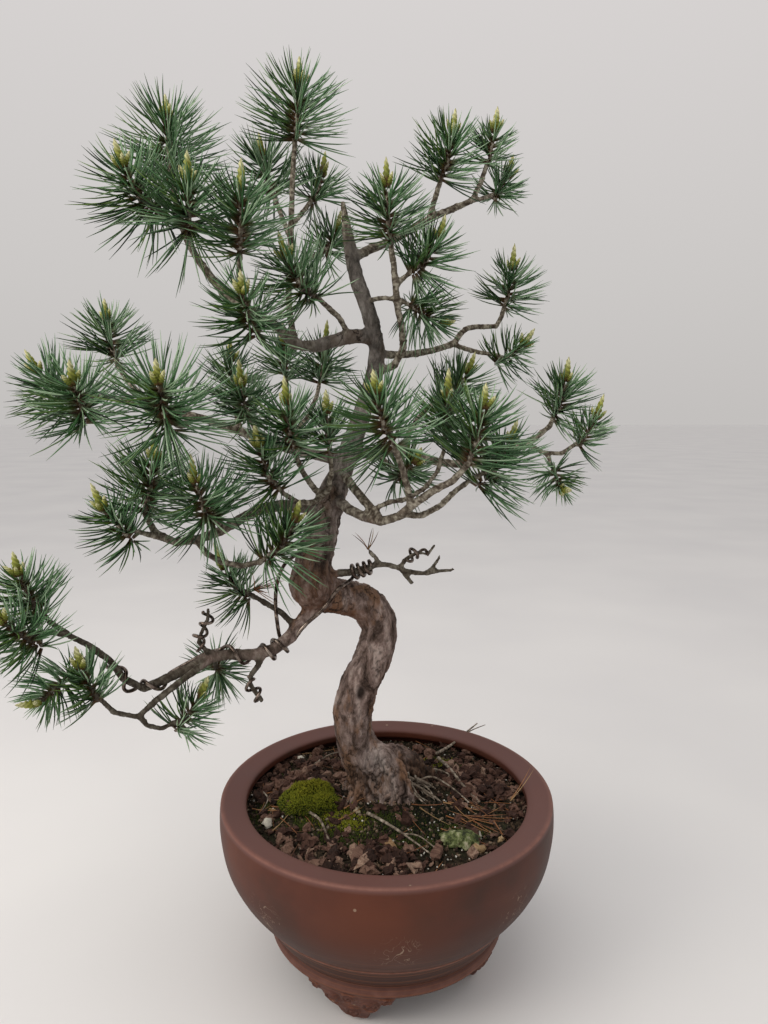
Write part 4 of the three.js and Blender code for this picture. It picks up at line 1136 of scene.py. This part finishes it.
# Pine needles: waxy and leathery, dark green outside with a blue-white bloom in lines along the two inner
# sides, and brown papery sheaths at the foot. The tone chart has sixteen greens, each with three strips.
needle_green = new_material("five_needle_pine_leaf")
chart, across, tone = strip_tone(needle_green)
outer = put(needle_green, "ValToRGB",
            {"stops": [(0.0, "#10240c"), (0.4, "#1e3d18"), (0.75, "#335424"), (1.0, "#5f7a34")]},
            {"Fac": tone.outputs["Value"]})
inner = put(needle_green, "ValToRGB", {"stops": [(0.0, "#274a28"), (0.5, "#4f7a4c"), (1.0, "#a6c09e")]},
            {"Fac": tone.outputs["Value"]})
side = put(needle_green, "Math", {"operation": "FRACT"}, {0: across.outputs[0]})
is_inner = put(needle_green, "Math", {"operation": "GREATER_THAN", 1: 1 / 3}, {0: side.outputs[0]})
sides = put(needle_green, "Mix", {"data_type": "RGBA"},
            {0: is_inner.outputs[0], 6: outer.outputs[0], 7: inner.outputs[0]})
sheath = put(needle_green, "MapRange", {"From Min": 0.24, "From Max": 0.06, "To Max": 0.92},
             {"Value": chart.outputs["Y"]})
leaf = put(needle_green, "Mix", {"data_type": "RGBA", 7: linear("#5d3d29")},
           {0: sheath.outputs[0], 6: sides.outputs[2]})
shader = put(needle_green, "BsdfPrincipled", {"Roughness": 0.34, "IOR": 1.45, "Specular IOR Level": 0.5},
             {"Base Color": leaf.outputs[2]})
put(needle_green, "OutputMaterial", links={"Surface": shader.outputs[0]})

rng = np.random.default_rng(23)
needle = needle_model()
balls = {name: sum(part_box(name), Vector()) / 2
         for name in sorted(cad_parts) if name.startswith("needles_")}
shoots = {name: [] for name in balls}
for tip, way in tips:
    nearest = min(balls, key=lambda name: (balls[name] - tip).length)
    shoots[nearest].append(((tip - AXIS) / MM, way))
for name, own in shoots.items():
    placings = np.concatenate([
        needle_placings(rng, tip, way, NEEDLE_LENGTH[name.removeprefix("needles_")]) for tip, way in own])
    tuft = spread(name + "_tuft", [needle], placings, strip_shifts(rng, len(placings)))
    finish_piece(tuft, needle_green, "needles", name)

# ---- Shoots: candles ----
# The spring buds: slim candles of overlapping papery scales, brown at the foot and yellow-green above, one
# long one at each tip with shorter ones round it.
CANDLE_RINGS = 11
CANDLE_SIDES = 7
CANDLE_START = 2
CANDLE_UPTURN = 0.7
MAIN_CANDLE = {"long": (14, 21), "wide": (4.4, 5.2)}
SIDE_CANDLE = {"long": (7, 11), "wide": (3.1, 3.9)}


def candle_model():
    """One candle a metre long and wide: a spindle cut in rings, every other point drawn out as a scale."""
    bpy.ops.object.select_all(action="DESELECT")
    bpy.ops.mesh.primitive_cylinder_add(vertices=CANDLE_SIDES, radius=0.5, depth=1, location=(0, 0, 0.5))
    model = bpy.context.object
    cut_in_rings(model, CANDLE_RINGS)
    places = points_of(model)
    turns = np.arctan2(places[:, 1], places[:, 0])
    height = places[:, 2]
    ring = np.round(height * CANDLE_RINGS)
    around = np.round(turns / (2 * math.pi) * CANDLE_SIDES)
    scale = 1 + 0.24 * np.where((ring + around) % 2 == 0, 1, -1) * (height < 0.95)
    width = 0.5 * np.interp(height, [0, 0.12, 0.35, 0.6, 0.85, 1], [0.62, 0.85, 1.0, 0.82, 0.5, 0.08]) * scale
    twist = turns + height * 0.9
    chart = model.data.uv_layers.active or model.data.uv_layers.new()
    chart.name = "OFBake"
    for loop in model.data.loops:
        point = loop.vertex_index
        out = 0.35 if scale[point] > 1 else 0.65
        chart.data[loop.index].uv = (out / NEEDLE_TONES, 0.02 + 0.96 * float(height[point]))
    places[:, 0] = width * np.cos(twist)
    places[:, 1] = width * np.sin(twist)
    move_points(model, places)
    return model


# Bud scales: thin, resinous and papery, red-brown at the foot, then olive to butter yellow with pale frayed
# tips.
bud_scales = new_material("papery_bud_scales")
chart, across, tone = strip_tone(bud_scales)
shift = put(bud_scales, "MapRange", {"To Min": -0.1, "To Max": 0.1}, {"Value": tone.outputs["Value"]})
level = put(bud_scales, "Math", {"operation": "ADD"}, {0: chart.outputs["Y"], 1: shift.outputs[0]})
lengthwise = put(bud_scales, "ValToRGB",
                 {"stops": [(0.0, "#4f2d1f"), (0.2, "#6f5230"), (0.34, "#7b8632"), (0.6, "#a4aa4c"),
                            (0.85, "#e2e0ac")]}, {"Fac": level.outputs[0]})
edge_way = put(bud_scales, "Math", {"operation": "FRACT"}, {0: across.outputs[0]})
valley = put(bud_scales, "MapRange", {"From Min": 0.35, "From Max": 0.65, "To Max": 0.6},
             {"Value": edge_way.outputs[0]})
scales = put(bud_scales, "Mix", {"data_type": "RGBA", 7: linear("#4c4a1c")},
             {0: valley.outputs[0], 6: lengthwise.outputs[0]})
shader = put(bud_scales, "BsdfPrincipled", {"Roughness": 0.6, "Specular IOR Level": 0.3},
             {"Base Color": scales.outputs[2]})
put(bud_scales, "OutputMaterial", links={"Surface": shader.outputs[0]})

rng = np.random.default_rng(31)
candle = candle_model()
placings = []
for own in shoots.values():
    for tip, way in own:
        foot = Vector(tip) + CANDLE_START * way
        way = (way + Vector((0, 0, CANDLE_UPTURN))).normalized()
        long, wide = rng.uniform(*MAIN_CANDLE["long"]), rng.uniform(*MAIN_CANDLE["wide"])
        placings.append(stood(foot, way, wide * MM, long))
        first, second = (Vector(side[0]) for side in square_to(np.array([way])))
        count = int(rng.integers(2, 6))
        start = rng.uniform(0, 6.28)
        for index in range(count):
            turn = start + 2 * math.pi * index / count
            side = math.cos(turn) * first + math.sin(turn) * second
            lean = (way + side * rng.uniform(0.35, 0.75)).normalized()
            long, wide = rng.uniform(*SIDE_CANDLE["long"]), rng.uniform(*SIDE_CANDLE["wide"])
            placings.append(stood(foot + side * 1.2, lean, wide * MM, long))
candles = spread("spring_candles", [candle], np.array(placings), strip_shifts(rng, len(placings)))
finish_piece(candles, bud_scales, "needles")

# ---- Moss ----
# A cushion of bright moss at the left of the trunk and thin carpets over the soil round it: thousands of
# tiny leafy shoots, yellow-green where they get light and almost black where algae has grown over them.
MOSS_SHOOTS = 5200
CARPET_SHOOTS = 12000
MOSS_TONES = {"bright": (0, 7), "dull": (7, 11), "black": (11, 16)}
CARPETS = [(-42, -21, 18, 12, "bright"), (-30, -36, 18, 12, "bright"), (4, -34, 22, 12, "dull"),
           (-33, -52, 20, 10, "dull"), (40, -19, 26, 17, "black"), (16, -40, 22, 16, "black"),
           (41, 62, 15, 9, "bright"), (66, 53, 13, 8, "dull"), (-60, -34, 15, 10, "dull"),
           (-74, 44, 13, 12, "dull"), (8, -58, 26, 12, "dull"), (52, -44, 22, 9, "dull"),
           (-90, -16, 8, 20, "dull")]


def moss_model():
    """One moss shoot a metre high: a three-sided spike, bent at the tip, with its tones along its height."""
    bpy.ops.object.select_all(action="DESELECT")
    bpy.ops.mesh.primitive_cone_add(vertices=3, radius1=0.26, radius2=0.0, depth=1, location=(0, 0, 0.5))
    bpy.ops.object.transform_apply(location=True, rotation=True, scale=True)
    model = bpy.context.object
    places = points_of(model)
    places[places[:, 2] > 0.5] += (0.2, 0.05, 0)
    move_points(model, places)
    chart = model.data.uv_layers.active or model.data.uv_layers.new()
    chart.name = "OFBake"
    for loop in model.data.loops:
        place = places[loop.vertex_index]
        chart.data[loop.index].uv = ((0.5 + place[1]) / NEEDLE_TONES, 0.03 + 0.94 * float(place[2]))
    return model


def moss_placings(rng, feet, ways, sizes):
    """Placings of moss shoots at those feet, pointing those ways."""
    ways = ways + rng.normal(0, 0.35, ways.shape)
    ways /= np.linalg.norm(ways, axis=1)[:, None]
    first, second = square_to(ways)
    roll = rng.uniform(0, 2 * math.pi, len(feet))[:, None]
    side = np.cos(roll) * first + np.sin(roll) * second
    placings = np.zeros((len(feet), 4, 4))
    for column, way in enumerate((side, np.cross(ways, side), ways)):
        placings[:, :3, column] = way * (sizes * MM)[:, None]
    placings[:, :3, 3] = feet
    placings[:, 3, 3] = 1
    return placings


# Living moss: soft and matte, dark and earthy between the shoots, bright yellow-green at their translucent
# tips.
moss_leaf = new_material("cushion_moss")
chart = put(moss_leaf, "SeparateXYZ",
            links={"Vector": put(moss_leaf, "UVMap", {"uv_map": "OFBake"}).outputs[0]})
tip_green = put(moss_leaf, "ValToRGB",
                {"stops": [(0.0, "#8f8c26"), (0.2, "#7c8122"), (0.42, "#6c7420"), (0.46, "#434f1d"),
                           (0.66, "#39431a"), (0.7, "#1e2417"), (1.0, "#171c14")]},
                {"Fac": chart.outputs["X"]})
depth = put(moss_leaf, "MapRange", {"From Min": 0.75, "From Max": 0.05, "To Max": 0.8},
            {"Value": chart.outputs["Y"]})
shoot_green = put(moss_leaf, "Mix", {"data_type": "RGBA", 7: linear("#171a07")},
                  {0: depth.outputs[0], 6: tip_green.outputs[0]})
shader = put(moss_leaf, "BsdfPrincipled", {"Roughness": 0.9, "Specular IOR Level": 0.2},
             {"Base Color": shoot_green.outputs[2]})
put(moss_leaf, "OutputMaterial", links={"Surface": shader.outputs[0]})

# The bed under the cushion's shoots: packed stems and old leaves, dark, damp and rough.
moss_bed = new_material("moss_bed")
here = put(moss_bed, "TexCoord").outputs["Object"]
tufts = put(moss_bed, "TexNoise", {"Scale": 500, "Detail": 3}, {"Vector": here})
bed_green = put(moss_bed, "ValToRGB", {"stops": [(0.4, "#1d2008"), (0.65, "#4f5318")]},
                {"Fac": tufts.outputs[0]})
bump = put(moss_bed, "Bump", {"Strength": 1.0, "Distance": 0.8 * MM}, {"Height": tufts.outputs[0]})
shader = put(moss_bed, "BsdfPrincipled", {"Roughness": 0.95, "Specular IOR Level": 0.1},
             {"Base Color": bed_green.outputs[0], "Normal": bump.outputs[0]})
put(moss_bed, "OutputMaterial", links={"Surface": shader.outputs[0]})

rng = np.random.default_rng(41)
moss_shoot = moss_model()
cushion = merged_copy("moss_mound")
cushion.name = "moss_cushion"
apply_modifier(cushion, "SUBSURF", levels=2, render_levels=2)
apply_modifier(cushion, "REMESH", mode="VOXEL", voxel_size=1.2 * MM)
places = points_of(cushion)
normals = normals_of(cushion)
hummocks = np.array([
    4.2 * noise.noise(Vector(place) / (11 * MM)) + noise.noise(Vector(place) / (3 * MM)) for place in places])
places = places + normals * ((hummocks - 0.8) * MM)[:, None]
move_points(cushion, places)
smooth_shade(cushion)
finish_piece(cushion, moss_bed, "moss", "moss_mound")
upward = np.flatnonzero(normals[:, 2] > -0.1)
chosen = rng.choice(upward, MOSS_SHOOTS)
feet = places[chosen] + rng.normal(0, 0.4 * MM, (MOSS_SHOOTS, 3))
shoots_up = moss_placings(rng, feet, normals[chosen], rng.uniform(1.6, 3.0, MOSS_SHOOTS))
lit = (feet[:, 2] - feet[:, 2].min()) / (feet[:, 2].max() - feet[:, 2].min())
lit += rng.normal(0, 0.18, MOSS_SHOOTS)
shifts = np.zeros((MOSS_SHOOTS, 2))
shifts[:, 0] = np.clip(9 - 9 * lit, 0, 9).astype(int) / NEEDLE_TONES
cushion_shoots = spread("moss_cushion_shoots", [moss_shoot], shoots_up, shifts)
finish_piece(cushion_shoots, moss_leaf, "moss")

feet, shifts = [], []
area = sum(carpet[2] * carpet[3] for carpet in CARPETS)
for x, y, long, wide, band in CARPETS:
    count = round(CARPET_SHOOTS * long * wide / area)
    spots = rng.normal(0, 0.5, (count, 2)) * (long, wide) + (x, y)
    kept = [(a, b) for a, b in spots if math.hypot(a, b) < SOIL_RADIUS - 3]
    feet += [AXIS + Vector((a, b, soil_height(a, b) - 0.2)) * MM for a, b in kept]
    shifts.append(strip_shifts(rng, len(kept), MOSS_TONES[band]))
feet = np.array(feet)
ways = np.tile((0.0, 0.0, 1.0), (len(feet), 1))
carpet = spread("moss_carpet", [moss_shoot], moss_placings(rng, feet, ways, rng.uniform(1.4, 2.8, len(feet))),
                np.concatenate(shifts))
finish_piece(carpet, moss_leaf, "moss")

# ---- Stones and grit ----
# One flat stone of greenish tuff with algae on it, a few pale pebbles, and white specks of pumice in the
# mix.
PEBBLES = [(-73, 67, 7), (-86, -34, 8), (60, -68, 8.5), (-22, -23, 6.5), (3, -64, 7.5), (64, -50, 5),
           (-60, 78, 5), (80, -52, 5), (-20, -72, 5)]
PUMICE = 190

# Tuff: a soft, pitted grey-green volcanic stone, matte, with algae in its hollows.
tuff = new_material("mossy_tuff")
here = put(tuff, "TexCoord").outputs["Object"]
blotch = put(tuff, "TexNoise", {"Scale": 150, "Detail": 7, "Roughness": 0.7}, {"Vector": here})
tuff_colour = put(tuff, "ValToRGB", {"stops": [(0.4, "#262d18"), (0.5, "#596338"), (0.57, "#868a68"),
                                               (0.66, "#b5b096")]}, {"Fac": blotch.outputs[0]})
pits = put(tuff, "TexNoise", {"Scale": 600, "Detail": 3}, {"Vector": here})
bump = put(tuff, "Bump", {"Strength": 0.7, "Distance": 0.5 * MM}, {"Height": pits.outputs[0]})
shader = put(tuff, "BsdfPrincipled", {"Roughness": 0.85, "Specular IOR Level": 0.3},
             {"Base Color": tuff_colour.outputs[0], "Normal": bump.outputs[0]})
put(tuff, "OutputMaterial", links={"Surface": shader.outputs[0]})

flat_stone = merged_copy("flat_stone")
flat_stone.name = "flat_tuff_stone"
apply_modifier(flat_stone, "REMESH", mode="VOXEL", voxel_size=0.8 * MM)
places = points_of(flat_stone)
chips = np.array([
    [0.9 * noise.noise(Vector(place) / (6 * MM)) + 0.5 * noise.noise(Vector(place) / (2.2 * MM))]
    for place in places])
move_points(flat_stone, places + (places - places.mean(axis=0)) * chips * 0.3)
smooth_shade(flat_stone, 40)
finish_piece(flat_stone, tuff, "stone", "flat_stone")

rng = np.random.default_rng(53)
sizes = np.array([size for _, _, size in PEBBLES])
middles = on_soil([(x, y) for x, y, _ in PEBBLES], sizes, 0.2)
pebbles = spread("pale_pebbles", lump_models, turned_placings(rng, middles, sizes * MM, 0.75),
                 tone_shifts(rng, len(PEBBLES)))
# Limestone: weathered pebbles, smooth and pale, stained tan by the soil.
pebble_stone = grain_material("weathered_limestone_pebbles",
                              [(0.25, "#7a5e40"), (0.45, "#a58f6d"), (0.6, "#a9a79a"), (0.8, "#c9c6b8")],
                              70, 0.7)
finish_piece(pebbles, pebble_stone, "stone")
sizes = rng.uniform(0.9, 1.9, PUMICE)
spots = scatter_places(
    rng, PUMICE, lambda x, y: 0.15 + 0.85 * math.exp(-(((x - 50) / 45) ** 2 + ((y + 55) / 35) ** 2)))
pumice = spread("pumice_grit", crumb_models,
                turned_placings(rng, on_soil(spots, sizes + 1.6, 0.0), sizes * MM),
                tone_shifts(rng, PUMICE))
# Pumice: white volcanic froth in small grains, dry and matte.
pumice_stone = grain_material("white_pumice_grit", [(0.2, "#9a988f"), (0.6, "#cfcdc4"), (0.9, "#e6e4dc")],
                              60, 0.8)
finish_piece(pumice, pumice_stone, "stone")

# ---- Roots, twigs and fallen needles ----
# Fine surface roots at the right of the trunk, bare dead twigs lying on the soil and over the rim, and old
# needles that have dropped and gone orange-brown.
TWIGS = {
    "twig_front": ([(-14, -30, 3), (0, -44, 4), (14, -58, 3.5), (29, -74, 2.5)], 1.3, 0.5),
    "twig_side_shoot": ([(12, -56, 4), (22, -60, 6), (34, -70, 3)], 0.7, 0.3),
    "stem_dried_right": ([(44, 60, 5), (52, 38, 5), (60, 14, 4), (70, -10, 3)], 1.5, 0.8),
    "stem_pale_arc": ([(24, 10, 8), (36, 12, 10), (50, 4, 7), (62, -12, 3)], 0.9, 0.5),
    "stem_pale_curl": ([(30, 34, 6), (40, 30, 9), (50, 26, 6), (46, 18, 4)], 0.8, 0.5),
    "twig_over_rim": ([(43, 66, 6), (58, 84, 9), (74, 103, 13), (84, 116, 15)], 1.4, 0.5),
    "twig_over_rim_fork": ([(68, 96, 12), (78, 100, 16), (90, 106, 18)], 0.6, 0.3),
    "strip_grey_left": ([(-57, -26, 4), (-48, -38, 5), (-42, -54, 4), (-38, -66, 3)], 1.1, 0.6),
    "twig_left": ([(-96, 8, 4), (-90, -8, 6), (-94, -24, 3)], 0.6, 0.3),
    "twig_back_left": ([(-60, 50, 4), (-48, 66, 6), (-30, 78, 4)], 0.9, 0.4),
}
ROOTS = 13
FALLEN = 85
SHRUNK = 0.62

# Dead wood: bare twigs and fine roots, silver-grey over brown, dry and matte.
dead_wood = new_material("weathered_dead_twig")
here = put(dead_wood, "TexCoord").outputs["Object"]
weather = put(dead_wood, "TexNoise", {"Scale": 350, "Detail": 3}, {"Vector": here})
twig_colour = put(dead_wood, "ValToRGB", {"stops": [(0.35, "#4d4238"), (0.55, "#857a6c"), (0.7, "#aaa294")]},
                  {"Fac": weather.outputs[0]})
bump = put(dead_wood, "Bump", {"Strength": 0.6, "Distance": 0.2 * MM}, {"Height": weather.outputs[0]})
shader = put(dead_wood, "BsdfPrincipled", {"Roughness": 0.85, "Specular IOR Level": 0.25},
             {"Base Color": twig_colour.outputs[0], "Normal": bump.outputs[0]})
put(dead_wood, "OutputMaterial", links={"Surface": shader.outputs[0]})


def rod_along(line, start, end, sides=7):
    """A closed round rod along a line of points in millimetres from the pot's axis."""
    ways = [Vector(b) - Vector(a) for a, b in zip(line, line[1:])]
    ways.append(ways[-1])
    bpy.ops.object.select_all(action="DESELECT")
    bpy.ops.mesh.primitive_cylinder_add(vertices=sides, radius=1, depth=1, location=(0, 0, 0.5))
    rod = bpy.context.object
    bpy.ops.object.transform_apply(location=True, rotation=True, scale=True)
    for edge in rod.data.edges:
        ends = [rod.data.vertices[i].co.z for i in edge.vertices]
        edge.select = abs(ends[0] - ends[1]) > 0.5
    for face in rod.data.polygons:
        face.select = False
    bpy.ops.object.mode_set(mode="EDIT")
    bpy.ops.mesh.select_mode(type="EDGE")
    bpy.ops.mesh.subdivide(number_cuts=len(line) - 2)
    bpy.ops.object.mode_set(mode="OBJECT")
    turns = [way.to_track_quat("Z", "Y").to_matrix() for way in ways]
    for vertex in rod.data.vertices:
        step = round(vertex.co.z * (len(line) - 1))
        radius = start + (end - start) * step / (len(line) - 1)
        radius *= 1 + 0.25 * noise.noise(Vector(line[step]) * 0.7)
        offset = turns[step] @ Vector((vertex.co.x * radius, vertex.co.y * radius, 0))
        vertex.co = AXIS + (Vector(line[step]) + offset) * MM
    smooth_shade(rod)
    return rod


def on_ground(points):
    """Points given as a place on the soil and a height over it."""
    return [(x, y, max(soil_height(min(x, 104), min(y, 104)), SOIL_EDGE) + over) for x, y, over in points]


for name, (points, start, end) in TWIGS.items():
    twig = rod_along(smooth_line(on_ground(points), 7), start, end)
    twig.name = name
    finish_piece(twig, dead_wood, "bark")

rng = np.random.default_rng(67)
for number in range(ROOTS):
    turn = math.radians(rng.uniform(-50, 75))
    start = Vector((14 + rng.uniform(-4, 8), 8 + rng.uniform(-10, 18), rng.uniform(4, 16)))
    reach = rng.uniform(18, 40)
    bow = rng.uniform(-10, 10)
    points = []
    for share in (0, 0.35, 0.7, 1):
        out = Vector((math.cos(turn), math.sin(turn), 0)) * reach * share
        bend = Vector((-math.sin(turn), math.cos(turn), 0)) * bow * math.sin(math.pi * share)
        along_root = start + out + bend
        points.append((along_root.x, along_root.y, start.z * (1 - share) + 2.5 * (1 - share) - 1))
    root = rod_along(smooth_line(on_ground(points), 6), rng.uniform(0.6, 1.3), 0.35, 6)
    root.name = f"surface_root_{number + 1}"
    finish_piece(root, dead_wood, "bark")

# Dropped needles: dry and papery, orange-brown when new-fallen and grey-brown when old.
dead_needle = new_material("dry_pine_needle")
tone = strip_tone(dead_needle)[2]
dry = put(dead_needle, "ValToRGB",
          {"stops": [(0.0, "#4a3526"), (0.4, "#7a4f33"), (0.75, "#96643e"), (1.0, "#a38a63")]},
          {"Fac": tone.outputs["Value"]})
shader = put(dead_needle, "BsdfPrincipled", {"Roughness": 0.6, "Specular IOR Level": 0.3},
             {"Base Color": dry.outputs[0]})
put(dead_needle, "OutputMaterial", links={"Surface": shader.outputs[0]})


def fallen_ground(x, y):
    """How thickly needles have fallen at a place: most at the right and the left edge."""
    right = math.exp(-(((x - 68) / 24) ** 2 + ((y + 18) / 20) ** 2))
    left = math.exp(-(((x + 84) / 14) ** 2 + (y / 34) ** 2))
    return 0.08 + 0.92 * max(right, 0.7 * left)


placings = []
for x, y in scatter_places(rng, FALLEN, fallen_ground):
    turn = rng.normal(-0.45, 0.5) if x > 30 else rng.uniform(-1.6, 1.6)
    length = rng.uniform(24, 36)
    far_x, far_y = x + length * math.cos(turn), y + length * math.sin(turn)
    if math.hypot(far_x, far_y) > 103:
        turn += math.pi
        far_x, far_y = x + length * math.cos(turn), y + length * math.sin(turn)
    foot = Vector((x, y, soil_height(x, y) + rng.uniform(1.5, 3.5)))
    end = Vector((far_x, far_y, soil_height(far_x, far_y) + rng.uniform(1, 4)))
    placings.append(stood(foot, end - foot, SHRUNK, length, rng.uniform(0, 6.28)))
for foot, way in (((93, -13, 131), (24, 19, 14)), ((94, -10, 131), (22, 24, 12))):
    placings.append(stood(foot, way, SHRUNK, 33, 1.0))
dead_stub = Vector((-13, -32, 326))
for side in (-0.7, -0.45, 0.1, 0.5, 0.8):
    placings.append(stood(dead_stub, (side, -0.1, 1.0), SHRUNK, 15, side * 3))
low_inner = (sum(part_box("needles_low_inner"), Vector()) / 2 - AXIS) / MM
for number in range(12):
    way = (rng.normal(0.9, 0.3), rng.normal(0, 0.5), rng.normal(0.1, 0.4))
    length = rng.uniform(16, 24)
    placings.append(stood(low_inner + Vector((14, 0, -3)), way, SHRUNK, length, rng.uniform(0, 6.28)))
fallen = spread("dry_needles", [needle], np.array(placings), strip_shifts(rng, len(placings)))
finish_piece(fallen, dead_needle, "needles")

for model in (needle, candle, moss_shoot, *crumb_models, *lump_models):
    bpy.data.objects.remove(model)
